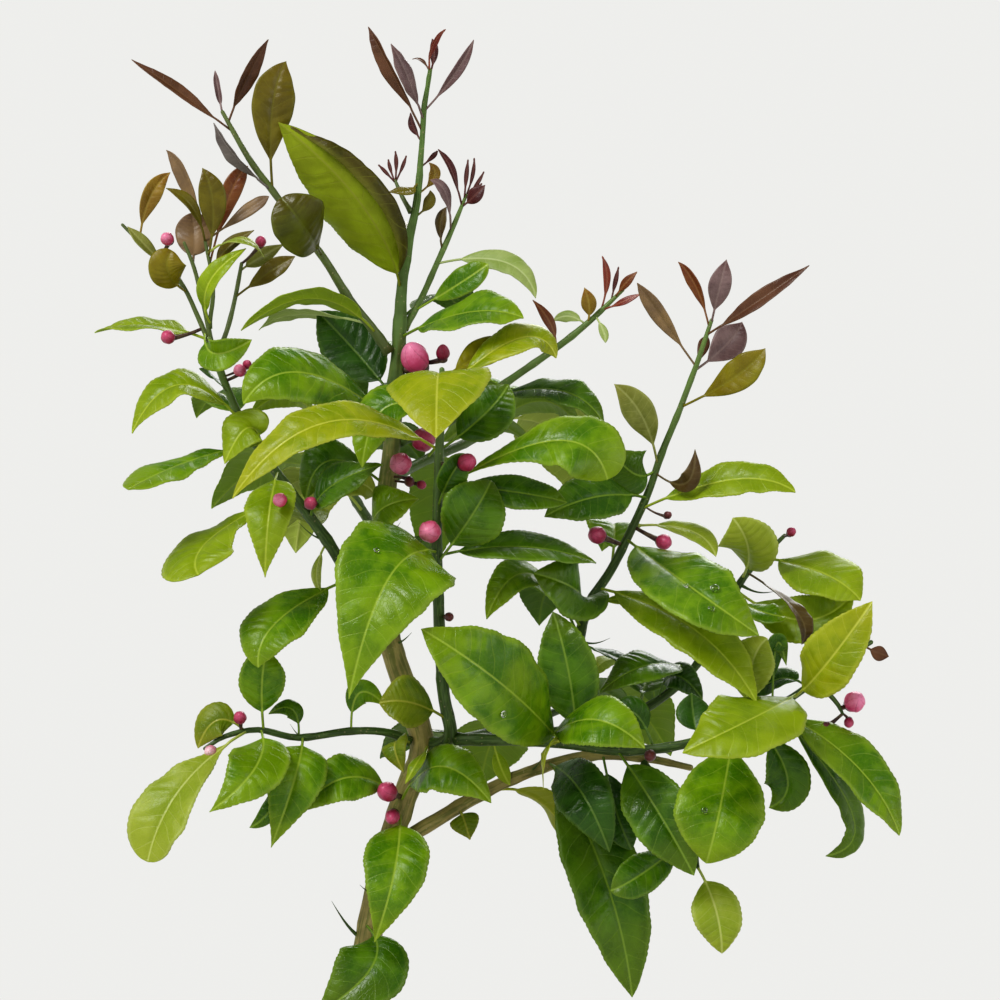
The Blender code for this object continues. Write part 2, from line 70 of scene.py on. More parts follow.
# Each stem: finish, and its points (x, y, z, radius) from where it leaves its parent to its end.
STEMS = {
    "trunk": ("bark", [
        (-5, 0, 130, 8.3), (-5, 0, 160, 8.3), (-5, 0, 188, 8.2), (-2, 0, 240, 7.4), (4, 0, 300, 6.6),
        (20, 0, 365, 6.0), (31, 0, 394, 6.0), (26, 0, 417, 5.8), (16, 0, 446, 5.5), (11, 0, 478, 5.2),
        (12, 0, 512, 4.7), (16, 0, 550, 4.2), (19, 0, 590, 3.7), (20.5, 0, 620, 2.9), (23, 0, 640, 2.3),
        (25.5, 0, 655, 1.9), (28.5, 0, 670, 1.6), (30.8, 0, 695, 1.35), (32, 0, 715, 1.1),
        (35, 0, 735, 0.8)]),
    "front_stem": ("green_wood", [
        (31, 0, 396, 3.4), (45, -14, 402, 3.3), (42, -26, 425, 3.0), (40, -34, 460, 2.8),
        (39, -38, 500, 2.5), (40, -40, 540, 2.2), (41.5, -42, 575, 1.8), (41.5, -43, 584, 1.3)]),
    "right_branch": ("green_wood", [
        (44, -13, 401, 3.0), (60, -18, 401, 3.0), (80, -20, 401, 2.9), (105, -22, 399, 2.7),
        (130, -26, 396, 2.5), (160, -28, 399, 2.3), (190, -24, 409, 2.0), (215, -18, 422, 1.8),
        (240, -10, 440, 1.5), (255, -6, 449, 1.2)]),
    "rear_branch": ("green_wood", [
        (31, 0, 394, 3.0), (48, 8, 399, 2.9), (75, 16, 401, 2.7), (110, 20, 405, 2.5), (140, 22, 413, 2.3),
        (168, 26, 435, 2.1), (186, 30, 468, 1.9), (196, 32, 484, 1.7), (214, 30, 502, 1.0)]),
    "right_shoot": ("green_wood", [
        (107, -22, 399, 2.8), (109, -6, 424, 2.7), (110, 8, 450, 2.6), (115, 14, 468, 2.5),
        (126, 16, 485, 2.3), (136, 14, 505, 2.1), (145, 12, 525, 1.9), (151, 10, 543, 1.75),
        (160, 8, 565, 1.55), (168.5, 6, 588, 1.35), (176, 5, 610, 1.0)]),
    "lower_branch": ("bark", [
        (14, 0, 345, 3.6), (32, 6, 356, 3.5), (60, 12, 372, 3.3), (87, 18, 384, 3.0), (115, 22, 391, 2.6),
        (140, 26, 390, 2.2), (166, 26, 385, 1.6)]),
    "low_left_twig": ("green_wood", [
        (31, 0, 396, 2.2), (15, -9, 404, 2.0), (-5, -13, 405, 1.9), (-30, -17, 402, 1.7),
        (-50, -20, 406, 1.5), (-66, -23, 403, 1.2), (-76, -25, 397, 1.0)]),
    "left_branch": ("green_wood", [
        (12, 0, 467, 3.2), (-4, -9, 481, 3.0), (-16, -15, 500, 2.8), (-36, -21, 527, 2.5),
        (-47, -23, 542, 2.3), (-57, -23, 557, 2.1), (-66, -21, 577, 1.9), (-72, -19, 594, 1.6)]),
    "left_shoot": ("young_wood", [
        (-72, -19, 592, 1.3), (-80, -17, 611, 1.2), (-90, -15, 630, 1.1), (-110, -11, 649, 0.9),
        (-118, -10, 657, 0.8)]),
    "left_shoot_inner": ("young_wood", [
        (-72, -19, 592, 1.2), (-76, -24, 613, 1.1), (-81, -28, 634, 1.0), (-86, -30, 647, 0.8)]),
    "left_shoot_back": ("young_wood", [
        (-71, -19, 591, 1.3), (-66, -12, 604, 1.2), (-62, -7, 621, 1.1), (-59, -4, 638, 0.9)]),
    "left_shoot_front": ("young_wood", [
        (-72, -19, 592, 1.2), (-74, -22, 605, 1.1), (-72, -24, 625, 1.0), (-76, -24, 648, 0.8)]),
    "upper_left_shoot": ("young_wood", [
        (19, 0, 587, 2.6), (7.5, -5, 604, 2.4), (-5, -10, 620, 2.2), (-17.5, -14, 640, 2.0),
        (-30, -16, 656, 1.8), (-42.5, -16, 673, 1.7), (-55, -16, 690, 1.5), (-68, -13, 713, 1.0)]),
    "upper_right_twig": ("green_wood", [
        (16, 0, 548, 2.4), (40, 10, 557, 2.2), (60, 18, 570, 2.0), (80, 22, 584, 1.9), (100, 24, 598, 1.7),
        (115, 24, 610, 1.5), (132, 24, 626, 0.9)]),
    "leader_side_shoot": ("green_wood", [
        (20, 0, 602, 1.8), (30, 6, 620, 1.6), (38.5, 9, 639, 1.45), (46, 10, 656, 1.3),
        (53, 10, 673, 0.8)]),
    "leader_tuft_twig": ("young_wood", [
        (25.5, 0, 664, 1.2), (21, 4, 672, 1.1), (17.5, 6, 680, 0.8)]),
    "hanging_twig": ("green_wood", [
        (140, 26, 390, 1.5), (156, 10, 372, 1.4), (166, -12, 350, 1.2), (168, -26, 338, 0.9)]),
    "back_left_branch": ("green_wood", [
        (12, 0, 500, 2.8), (2, 28, 512, 2.6), (-8, 58, 528, 2.3), (-16, 86, 548, 1.8),
        (-20, 100, 566, 1.2)]),
    "back_right_branch": ("green_wood", [
        (14, 0, 530, 2.8), (32, 32, 540, 2.6), (54, 62, 550, 2.3), (72, 90, 562, 1.8),
        (80, 104, 574, 1.2)]),
    "back_low_branch": ("green_wood", [
        (30, 0, 392, 2.8), (48, 32, 398, 2.6), (76, 60, 404, 2.3), (102, 84, 412, 1.8),
        (116, 98, 420, 1.2)]),
    "bud_spur": ("green_wood", [
        (226, -15, 430, 1.4), (233, -18, 424, 1.2), (238, -19, 418, 1.1), (240, -20, 414, 0.7)]),
}

# Each leaf: look, base, middle and tip of its midrib, width, the way its upper side looks, and, where
# they differ from the usual, the fold of its blade and the curl of its two margins, in degrees. A leaf's
# look is partly its own colour and partly painted shade and painted light, set to how lit each leaf stands.
LEAVES = {
    "top_bronze": ("bronze", (31, -2, 704), (16.2, -8, 733.3), (4, -6, 756), 10, (-1, -1, 0), 30, (10, 10)),
    "top_2": ("mauve", (32, -3, 710), (24.7, -10, 729.2), (16, -14, 747), 11, (1, -1, 0.2), 20, (-50, -50)),
    "top_3": ("mauve", (34, 0, 714), (47.5, -4, 732.7), (57, -2, 750), 6, (0.5, -1, 0.3), 25, (0, 0)),
    "top_4": ("red", (35, 0, 733), (36, -2, 746), (43, -3, 755), 4, (1, -1, 0), 30, (0, 0)),
    "top_5": ("maroon", (35, 0, 733), (37, 2, 743), (36, 3, 751), 5, (0, -1, 0), 30, (0, 0)),
    "top_6": ("bronze", (35, 0, 734), (31, 3, 740), (26, 5, 741), 3, (0, -0.4, 1), 10, (0, 0)),
    "top_7": ("maroon", (30, 0, 699), (27, 3, 706), (25, 4, 714), 5, (-1, -1, 0), 20, (0, 0)),
    **numbered("tuft", (
        ("maroon", (17.5, 6, 679), (13, 4, 684), (9, 4, 688), 1.9, (0, -1, 0.4)),
        ("maroon", (17.5, 6, 679), (15, 7, 686), (14, 8, 691), 1.9, (0, -1, 0.4)),
        ("maroon", (17.5, 6, 679), (18, 6, 688), (17.5, 6, 695), 2.2, (0, -1, 0)),
        ("maroon", (17.5, 6, 679), (21, 8, 687), (23, 10, 693), 1.9, (0, -1, 0)),
        ("olive", (33.9, 8, 679), (24.1, -5, 674.7), (14.2, -9, 673.9), 12, (0, -0.45, 1)),
        ("amber", (36, 9, 672), (37, 7, 682), (34.5, 6, 689), 6, (0, -1, 0)),
        ("maroon", (51, 10, 667), (45.9, 6, 684.4), (39, 6, 696), 5, (1, -1, 0), 25, (0, 0)),
        ("maroon", (32, 8, 686), (36, 8, 692), (38.5, 8, 695), 2.6, (0, -1, 0)),
        ("mauve", (43.5, 9, 655), (43, 2, 673), (35, 0, 680), 7, (1, -1, 0)),
        ("olive", (31, 4, 660), (34, 3, 668), (35, 3, 675), 6, (0, -1, 0)),
        ("umber", (41, 9, 646), (40, 7, 658), (43, 6, 667), 8, (-1, -1, 0)),
        ("maroon", (52, 10, 670), (53, 8, 681), (54, 8, 691), 2.4, (0, -1, 0)),
        ("maroon", (53, 10, 670), (56, 12, 682), (57, 12, 692), 2.1, (0, -1, 0)),
        ("maroon", (53, 10, 670), (58, 10, 678), (62, 10, 685), 2, (0, -1, 0)),
        ("maroon", (51.4, 10, 667.6), (56.5, 5, 671.8), (62.5, 4, 677.8), 8, (0, -1, 0.3)),
        ("maroon", (53, 10, 671), (57, 9, 675), (61, 9, 679), 2.6, (0, -1, 0.3)),
    )),
    "high_left_spear": (
        "bronze", (-64, -14, 704), (-87.8, -19, 721.5), (-113, -16, 739), 7.5, (0.4, -1, 0.6), 25, (0, 0)),
    "high_left_2": (
        "mauve", (-68, -13, 712), (-70, -11, 722), (-72, -9, 734), 5.5, (0, -1, 0), 40, (30, 30)),
    "high_left_3": (
        "bronze", (-65, -13, 708), (-56.3, -14, 728.8), (-45, -14, 749), 9, (0.7, -1, 0), 22, (0, 0)),
    "high_left_olive": (
        "olive", (-43, -16, 674), (-43, -21, 713.4), (-36, -18, 738), 21.5, (0.1, -1, 0), 12, (-15, -15)),
    "high_left_5": (
        "silver", (-47.2, -16, 670), (-59.7, -24, 688.4), (-72, -26, 706.5),
        10, (-1, -0.8, -0.4), 10, (30, 30)),
    "high_left_round": (
        "dark_olive", (-18.1, -24, 640.8), (-25.3, -56, 653), (-36.9, -60, 667.9),
        29, (0.1, -1, 0.1), 8, (-20, -20)),
    "high_left_underside": (
        "rolled", (20, -2, 627), (1.9, -31, 665.7), (-39, -38, 706), 52, (0, 1, 0.15), 6, (-172, 60)),
    "high_left_arch": (
        "lime", (9, -5, 602), (-21.4, -30, 620.3), (-58, -34, 604), 18, (0, 0.45, 1), 8, (-10, -10)),
    "high_left_9": ("pale", (-10, 6, 600), (-31, 20, 614), (-52, 22, 606), 14, (0, 0.35, 1)),
    "left_amber": (
        "amber", (-110, -11, 648), (-104.1, -13, 670.2), (-94, -12, 683),
        10, (0.3, -1, 0.2), 20, (-10, -10)),
    "left_2": (
        "dusky", (-71.6, -24, 651.2), (-85.4, -26, 677.3), (-95.4, -24, 693.3),
        8, (-0.6, -1, 0), 22, (0, 0)),
    "left_3": (
        "olive", (-75, -24, 640), (-71.7, -32, 665.6), (-77, -32, 684), 14, (0, -1, 0.1), 14, (-20, -20)),
    "left_4": (
        "rust", (-74, -24, 636), (-64, -18, 671.4), (-55.2, -16, 685.9),
        10, (0.2, -1, 0.2), 14, (-20, -20)),
    "left_5": (
        "dusky", (-68.7, -24, 651.2), (-55, -20, 663.8), (-44.7, -18, 670.9),
        7.5, (-0.2, -1, 0.4), 14, (-20, -20)),
    "left_6": (
        "olive", (-70.1, -24, 648.8), (-81.9, -34, 664.5), (-94.6, -36, 673.8),
        7, (0.6, -1, 0.3), 20, (0, 0)),
    "left_7": (
        "dusky", (-78.3, -28, 637.7), (-82.1, -14, 650.3), (-83.3, -12, 662.8),
        19, (0, -1, 0.1), 8, (-20, -20)),
    "left_8": (
        "olive", (-73.7, -22, 631.5), (-65.6, -26, 643.7), (-51.7, -26, 653.6),
        8, (-0.5, -1, 0.3), 20, (0, 0)),
    "left_9": (
        "lime", (-73.2, -22, 606.7), (-73.8, -38, 625.9), (-55.2, -36, 644.2),
        12, (-0.6, -1, 0.2), 25, (-20, -20)),
    "left_10": (
        "pale_lime", (-66, -30, 644), (-58, -34, 649), (-46, -32, 640), 12, (0, -0.3, 1), 10, (-30, -30)),
    "left_11": (
        "olive", (-59.6, -7, 620.7), (-45.4, -12, 633), (-32, -12, 641.4),
        10.5, (0.2, -1, 0.5), 16, (-15, -15)),
    "left_12": (
        "gold_olive", (-89.5, -16, 621.3), (-94.1, -28, 632.7), (-92.2, -28, 643.6),
        19, (0, -1, 0.1), 14, (-20, -20)),
    "left_13": (
        "pale_olive", (-94, -15, 632), (-105.3, -17, 645.6), (-115, -16, 656),
        7, (0.6, -1, 0.2), 16, (0, 0)),
    "left_14": ("pale_olive", (-59, -4, 634), (-52, -2, 640), (-38, -1, 648), 9, (0.2, -1, 0.4)),
    "left_15": ("green", (-84, -20, 600), (-70, -42, 592), (-52, -38, 599), 18, (0, -1, -0.2), 30, (0, 0)),
    "left_flat": (
        "lime", (-74, -18, 600), (-104, -15, 607), (-132, -12, 604), 26, (0, -0.25, 1), 8, (-8, -8)),
    "left_hooked": (
        "lime", (-56, -23, 556), (-86.7, -36, 577.2), (-111.7, -38, 553),
        27, (-0.1, -0.6, 1), 14, (-20, -20)),
    "left_18": ("dark", (-64, -18, 573), (-72, -8, 581), (-80, -4, 586), 12, (0, 0.5, 1)),
    "left_drooping": (
        "green", (-53.9, -23, 545.8), (-82.5, -40, 539.7), (-111.1, -66, 525.8),
        27, (-0.3, -0.6, 1), 8, (-25, -25)),
    "left_20": ("lime", (-47, -22, 542), (-54, -34, 556), (-66, -38, 538), 25, (-0.5, -1, 0.5)),
    "left_low_curved": (
        "lime", (-51, -20, 511.1), (-72, -44, 501.8), (-77, -66, 484), 38, (-0.4, -0.6, 1), 8, (-25, -25)),
    "left_hanging": ("lime", (-40, -22, 534), (-43, -54, 514), (-45, -57, 482), 25, (-0.2, -1, 0.4)),
    "left_23": ("pale_lime", (-16, -15, 499), (-21, -18, 486), (-19, -22, 474), 11, (-1, -0.6, 0)),
    "left_shaded": (
        "green", (-14.7, -10, 471.2), (-39.1, -42, 461), (-48.6, -50, 437.7),
        33, (-0.4, -1, 0.7), 12, (-25, -25)),
    "left_25": ("mid", (-24, -18, 510), (-15, -28, 526), (12, -30, 538), 26, (0, -0.8, 1), 12, (-20, -20)),
    "front_folded": (
        "yellow", (40.3, -22, 572), (39.7, -58, 581.5), (39.2, -92, 550.3),
        52, (0, -0.55, 1), 10, (-10, -50)),
    "front_long_arch": ("yellow", (39, -39, 545), (-14, -72, 558), (-60, -78, 521), 27, (-0.1, -1, 1)),
    "front_largest": (
        "green", (40, -40, 494), (16, -84, 482), (-3, -92, 424), 57, (-0.1, -1, 0.3), 14, (-15, -15)),
    "front_right_arch": (
        "green", (40, -40, 525), (96.8, -66, 549.2), (122.6, -66, 529.7), 37, (0, -1, 0.8), 12, (-25, -25)),
    "front_upright": (
        "mid", (40, -38, 490), (56, -54, 512), (66, -46, 530), 32, (0.3, -1, 0.3), 16, (-25, -25)),
    "front_level": (
        "mid", (47.8, -37, 492.4), (79.8, -42, 497.4), (117.8, -34, 489.4),
        24, (0, -0.75, 1), 12, (-20, -20)),
    "front_7": ("mid", (41, -40, 545), (62, -40, 562), (74, -40, 577), 29, (-0.2, -1, 0.4), 14, (-20, -20)),
    "front_8": ("green", (41, -40, 560), (14, -36, 566), (2, -40, 536), 27, (-0.3, -1, 0.8)),
    "front_9": ("mid", (41, -42, 515), (46, -50, 532), (55, -50, 542), 15, (0.3, -1, 0), 30, (-25, -25)),
    "front_10": (
        "gold_olive", (43.9, -42, 579), (59.1, -32, 591.6), (75.9, -28, 599.1), 16, (-0.2, -1, 0.4)),
    "front_11": ("mid", (41, -40, 528), (78, -46, 524), (103, -46, 519), 20, (0, -0.8, 0.6)),
    "front_12": ("olive_green", (44, -24, 408), (27, -34, 420), (10, -34, 420), 27, (0, -1, 0.5)),
    "front_13": ("yellow", (66.1, -34, 571.8), (78.9, -38, 599.8), (98.1, -34, 590), 24, (0, -0.7, 1)),
    "upper_arch": (
        "green", (20, 0, 601), (53.2, -30, 612.9), (81.8, -42, 610), 31, (-0.1, -0.8, 1), 14, (-20, -20)),
    "trunk_2": ("dark", (17, 0, 571), (-2, 14, 594), (-22, 16, 615), 31, (0.2, -1, 0.1), 10, (-20, -20)),
    "upper_left_broad": (
        "green", (16, 0, 560), (-27.4, -40, 583), (-56, -50, 567), 36, (0.1, -1, 0.7), 10, (-35, -35)),
    "trunk_4": ("mid", (13, 0, 527), (-14, -12, 540), (-27, -12, 520), 25, (-0.2, -1, 0.6)),
    "trunk_5": ("green", (28, 6, 614), (51.5, -6, 629.2), (64, -8, 638), 15, (-0.3, -1, 0.3)),
    "trunk_6": ("pale", (42.9, 10, 636.5), (72.5, 0, 639), (88, -4, 620.8), 13, (0.4, -1, 0.5)),
    "trunk_7": ("green", (12, 0, 490), (8, -32, 512), (30, -36, 521), 30, (-0.2, -1, 0.8)),
    "trunk_8": ("pale_lime", (13, 0, 514), (2, -16, 528), (-10, -20, 522), 18, (0, -1, 0.6)),
    **numbered("upper_right", (
        ("mid", (72.5, 18, 554.2), (99.8, -14, 574.7), (122.1, -18, 557.2), 22, (0, -0.7, 1)),
        ("rust", (98, 24, 596), (96, 22, 608), (86.5, 22, 621), 6, (0.5, -1, 0)),
        ("amber", (114, 24, 609), (115, 20, 617), (112.5, 18, 627), 8, (0, -1, 0)),
        ("red", (121, 24, 616), (124, 22, 631), (121.5, 20, 643), 4, (0.3, -1, 0)),
        ("maroon", (126, 24, 620), (128, 26, 629), (130, 27, 638), 2.5, (0, -1, 0)),
        ("rust", (128, 24, 622), (132.5, 20, 628.4), (139, 18, 635), 5, (-0.3, -1, 0.3)),
        ("red", (122, 24, 616), (131.4, 18, 619.7), (141, 16, 624), 4, (-0.2, -1, 0.5)),
        ("pale", (119, 24, 612), (122, 16, 605), (123, 14, 599), 4.5, (0, -1, 0)),
        ("pale", (113, 25, 609), (105, 32, 613), (97, 32, 611), 7, (0, -1, 0.6)),
    )),
    "right_1": (
        "dusky", (168.7, 6, 586.2), (150, 0, 612), (138.4, -2, 628.4), 9, (-0.5, -1, 0), 14, (-15, -15)),
    "right_2": ("rust", (176, 5, 606), (168.1, 2, 626.6), (159, 0, 639), 6.5, (-0.5, -1, 0), 22, (0, 0)),
    "right_3": (
        "mauve", (176, 5, 609), (179.3, -4, 624.8), (183, -6, 640), 11.5, (0, -1, 0), 14, (-20, -20)),
    "right_bronze": (
        "bronze", (174, 5, 603), (197.1, -8, 618.2), (224, -10, 637), 9, (-0.4, -1, 0.3), 20, (0, 0)),
    "right_mauve": (
        "mauve", (171.3, 7, 583.2), (183.6, 13, 597.9), (191.7, 14, 609.5),
        17, (0, -1, 0.1), 8, (-15, -15)),
    "right_6": ("bronze", (168, 7, 584), (172.1, 16, 596.5), (174, 18, 603), 6, (0, -1, 0)),
    "right_olive": (
        "gold_olive", (164.3, 8, 565.1), (187.1, -8, 581.3), (201.9, -12, 595.6),
        17, (-0.2, -1, 0.3), 12, (-15, -15)),
    "right_8": (
        "pale_olive", (149.3, 11, 536.1), (141.4, -2, 561), (126.9, -4, 577.9),
        16, (0, -1, 0), 12, (-15, -15)),
    "right_9": ("umber", (151.9, -2, 531), (162.7, -7, 528.5), (167.2, -8, 545.4), 10, (0, -1, 0)),
    "right_10": ("mid", (144, 12, 521), (119, -8, 522), (92, -16, 512), 27, (0, -1, 0.6)),
    "right_11": ("mid", (149, 10, 536), (138.1, 10, 533), (126, 12, 546), 26, (0, -1, 0.3)),
    "right_arch": (
        "lime", (142, 12, 516), (187.1, -8, 530.5), (217.2, -14, 524), 21, (0, -1, 0.8), 12, (-15, -15)),
    "right_glossy": (
        "green", (134, 14, 500), (163, -46, 478), (197, -56, 454), 41, (0.1, -1, 0.8), 12, (-20, -20)),
    "right_14": ("pale_lime", (138, 14, 507), (165.5, 14, 504.9), (178.2, 4, 492), 14, (0, -0.6, 1)),
    "right_shaded": ("mid", (120.2, 11, 462.2), (108.1, -28, 475.5), (86.3, -36, 484), 32, (-0.2, -1, 0.4)),
    "right_16": ("green", (111, 10, 455), (84, -18, 484), (63, -24, 461), 26, (0, -0.7, 1)),
    "right_17": ("lime", (114, 13, 466), (136, 6, 470), (152, 8, 456), 13, (0, -0.6, 1)),
    "right_18": ("dark", (110, 6, 448), (126, 18, 442), (142, 18, 436), 15, (0, -0.4, 1)),
    "far_right_upright": (
        "pale_lime", (193, 31, 481), (194.1, 2, 496), (186, -10, 511), 30, (-0.2, -1, 0.2), 14, (-30, -30)),
    "far_right_arch": (
        "lime", (209.2, 31, 483.6), (231.1, 2, 484), (249.8, -10, 470.2),
        34, (0.2, -1, 0.8), 10, (-30, -30)),
    "far_right_3": ("lime", (190, 30, 474), (222, 8, 460), (247, 2, 474), 25, (0, -1, 0.3), 12, (-15, -15)),
    "far_right_4": ("green", (188, 30, 470), (202, 2, 464), (213, 0, 462), 15, (0, -0.8, 0.8)),
    "far_right_5": (
        "umber", (209.2, 30, 472.4), (217.7, -14, 464.3), (219.9, -18, 448),
        11, (0.6, -1, 0), 16, (10, 10)),
    "far_right_6": ("mid", (168, 26, 432), (144, -4, 438), (119, -8, 424), 28, (0, -0.6, 1)),
    "far_right_7": ("dark", (150, 24, 420), (158, 12, 432), (172, 10, 420), 20, (0, -0.8, 0.8)),
    "middle_glossy": (
        "green", (100, -22, 400), (72, -76, 430), (32, -88, 458), 46, (0.1, -1, 0.35), 10, (-20, -20)),
    "right_branch_2": (
        "mid", (108, -22, 400), (104, -36, 434), (96, -32, 465), 29, (-0.1, -1, 0.1), 16, (-15, -15)),
    "right_branch_3": (
        "green", (92, -22, 400), (115, -56, 413), (141, -62, 399), 32, (0, -1, 0.7), 12, (-30, -30)),
    "right_branch_4": ("yellow", (104, -24, 399), (93, -52, 399), (91, -50, 378), 8, (-1, -0.3, 0.5)),
    "right_hanging": (
        "green", (186, -24, 408), (177.4, -60, 369.7), (170.4, -62, 342.5),
        44, (0, -1, 0.1), 10, (-25, -25)),
    "right_branch_8": (
        "mid", (128, -26, 396), (147, -48, 368), (165, -52, 336), 31, (-0.3, -1, 0.3), 18, (-15, -15)),
    "far_right_end": (
        "yellow", (216, -18, 422), (231.2, -42, 440.4), (252.6, -46, 470.4),
        29, (-0.2, -1, 0.25), 12, (-15, -15)),
    "right_branch_10": (
        "pale_lime", (192, -23, 410), (194, -34, 438), (202, -34, 452), 23, (-0.3, -1, 0.2)),
    "right_branch_11": ("mid", (200, -20, 425), (207, -24, 448), (212, -22, 438), 10, (0.3, -1, 0)),
    "right_branch_12": ("dark", (222, -14, 427), (210, -3, 431), (196, 2, 421), 17, (0, -0.7, 0.8)),
    "far_right_low": (
        "green", (206, -20, 417), (245, -36, 390), (267, -40, 355), 32, (0.3, -0.8, 1), 14, (-15, -15)),
    "right_branch_14": ("mid", (206, -19, 417), (245.2, -12, 364.7), (232, -16, 343), 18, (1, -0.8, 0)),
    "right_branch_15": ("mid", (196, -23, 411), (213, -12, 382), (204, -12, 367), 23, (0, -1, 0.2)),
    "right_branch_16": ("dark", (146, -27, 397), (136, -30, 415), (125, -30, 409), 17, (0, -0.9, 0.5)),
    "right_branch_17": ("dark", (168, -28, 401), (166, -20, 413), (165, -20, 424), 17, (0, -1, 0)),
    "right_branch_18": ("bronze", (240, -10, 440), (248, -6, 456), (252, -6, 467), 5, (0, -1, 0)),
    "right_branch_19": ("bronze", (252, -7, 447), (258, -6, 444), (264, -6, 442), 8, (0, -1, 0.3)),
    "right_level_arch": (
        "lime", (219, -16, 420.6), (192.7, -66, 413.9), (158.2, -76, 397.8),
        45, (0, -0.9, 1), 8, (-25, -25)),
    "right_branch_21": (
        "lime", (126.3, 12, 471.3), (165.3, -30, 456.8), (195.9, -50, 421),
        31, (0.2, -1, 0.7), 12, (-25, -25)),
    "low_right_1": ("dark", (95, 18, 387), (110, -32, 376), (124, -34, 346), 28, (-0.2, -1, 0.2)),
    "low_right_long": (
        "mid", (96, 18, 387), (123, -6, 330), (136, -8, 272), 38, (0.2, -1, 0.1), 16, (-15, -15)),
    "low_right_3": ("mid", (162, -10, 352), (140, -38, 336), (124, -42, 328), 20, (0, -1, 0.2)),
    "low_right_4": (
        "pale_lime", (168, -26, 338), (176.2, -42, 318.4), (179.2, -40, 296.6),
        24, (0, -1, 0.2), 12, (-15, -15)),
    "low_right_5": ("yellow", (62, 12, 373), (94, 22, 366), (114, 16, 324), 26, (0.4, 0.5, 1), 12, (0, 0)),
    "low_right_6": ("dark", (122, 22, 391), (128, -2, 365), (136, -4, 345), 20, (0, -1, 0.2)),
    "low_right_7": ("olive_green", (48.9, 10, 366.4), (52, 4, 359.7), (55, 2, 349.9), 15, (0, -1, 0)),
    "low_right_8": ("lime", (66, 16, 394.2), (70, 12, 386.9), (75, 10, 376.9), 8, (0, -1, 0)),
    "low_left_1": ("green", (-4, -13, 405), (0, -17, 424), (13, -16, 418), 13, (0, -1, 0.4)),
    "low_left_2": ("mid", (-30, -17, 402), (-33, -19, 416), (-45, -19, 414), 11, (0, -0.8, 0.8)),
    "low_left_curved": (
        "green", (-48, -20, 409.9), (-49.9, -54, 388.9), (-71.9, -62, 367.9),
        30, (0, -1, 0.3), 12, (-30, -30)),
    "low_left_hanging": (
        "green", (-28, -17, 402), (-30.9, -40, 383.2), (-42.5, -44, 349.1), 30, (0.1, -1, 0.2)),
    "low_left_5": (
        "green", (19, -2, 372), (-5, -26, 383), (-29, -28, 366), 26, (0, -1, 0.6), 12, (-20, -20)),
    "low_left_outer": (
        "pale_lime", (-54.9, -22, 407.5), (-86.1, -46, 379.6), (-102.7, -54, 342.9),
        33, (-0.5, -1, 0.6), 20, (-15, -15)),
    "low_left_7": ("olive_green", (-56, -21, 405), (-70, -22, 411), (-80, -22, 397), 20, (-0.3, -1, 0.6)),
    "low_left_8": (
        "green", (-47, -21, 406), (-47.6, -30, 430.1), (-44.7, -28, 445.8),
        23, (0, -1, 0.2), 14, (-10, -10)),
    "low_left_9": ("mid", (-27, -18, 402), (-40, -30, 372), (-54, -28, 358), 10, (-0.3, -1, 0)),
    "low_left_10": ("olive_green", (28, 0, 397), (18, -22, 400), (22, -24, 385), 15, (-0.6, -1, 0.2)),
    "low_left_11": ("lime", (34, -4, 397), (30, -30, 392), (23, -34, 380), 8, (-0.6, -1, 0.3)),
    "trunk_low_1": (
        "green", (20, -2, 368), (40, -36, 389), (66, -40, 371), 30, (0, -1, 0.7), 10, (-30, -30)),
    "trunk_hanging": (
        "green", (20, -3, 364), (18, -36, 337), (8, -38, 302), 32, (0, -1, 0.15), 12, (-20, -20)),
    "trunk_low_3": ("mid", (3, -5, 308), (7, -28, 290), (-21, -34, 266), 36, (0.1, -1, 0.4)),
    "back_left_hanging": (
        "pale_lime", (-16, 84, 547), (-30, 126, 532), (-38, 140, 492), 40, (-0.2, 1, 0.5)),
    "back_left_arch": ("green", (-5, 50, 524), (-44, 80, 540), (-80, 92, 516), 38, (-0.2, 0.7, 1)),
    "back_right_arch": ("pale_lime", (70, 88, 561), (98, 122, 556), (112, 142, 520), 42, (0.3, 1, 0.5)),
    "back_middle_hanging": ("green", (40, 44, 544), (38, 96, 526), (32, 112, 480), 30, (0, 1, 0.3)),
    "back_low_arch": ("green", (100, 82, 411), (132, 112, 418), (160, 124, 386), 42, (0.4, 1, 0.8)),
    **numbered("rear", (
        ("mid", (12, 4, 482), (20, 40, 500), (16, 66, 478), 36, (0, 0.4, 1)),
        ("pale_lime", (2, 28, 512), (-24, 44, 532), (-50, 50, 516), 34, (-0.2, 0.4, 1)),
        ("mid", (-8, 58, 528), (12, 80, 552), (30, 92, 540), 34, (0, 0.6, 1)),
        ("lime", (-16, 86, 548), (-36, 104, 574), (-60, 108, 566), 32, (-0.3, 0.6, 1)),
        ("mid", (-19, 98, 562), (-14, 120, 584), (0, 132, 574), 30, (0, 0.8, 1)),
        ("green", (32, 32, 540), (60, 30, 560), (88, 32, 546), 34, (0.2, 0.2, 1)),
        ("dark", (54, 62, 550), (34, 84, 574), (14, 92, 564), 34, (0, 0.7, 1)),
        ("green", (60, 72, 554), (90, 74, 572), (112, 74, 556), 34, (0.2, 0.4, 1)),
        ("green", (79, 102, 573), (74, 124, 580), (60, 134, 568), 30, (0, 0.8, 1)),
        ("olive_green", (80, 104, 574), (100, 116, 573), (118, 118, 559), 26, (0.3, 0.5, 1)),
        ("mid", (48, 32, 398), (30, 56, 402), (8, 64, 388), 34, (-0.2, 0.5, 1)),
        ("green", (76, 60, 404), (66, 88, 396), (60, 100, 372), 38, (0, 1, 0.5)),
        ("mid", (90, 72, 408), (116, 76, 424), (140, 78, 408), 34, (0.3, 0.4, 1)),
        ("pale_lime", (116, 98, 420), (120, 118, 438), (112, 132, 424), 28, (0, 0.8, 1)),
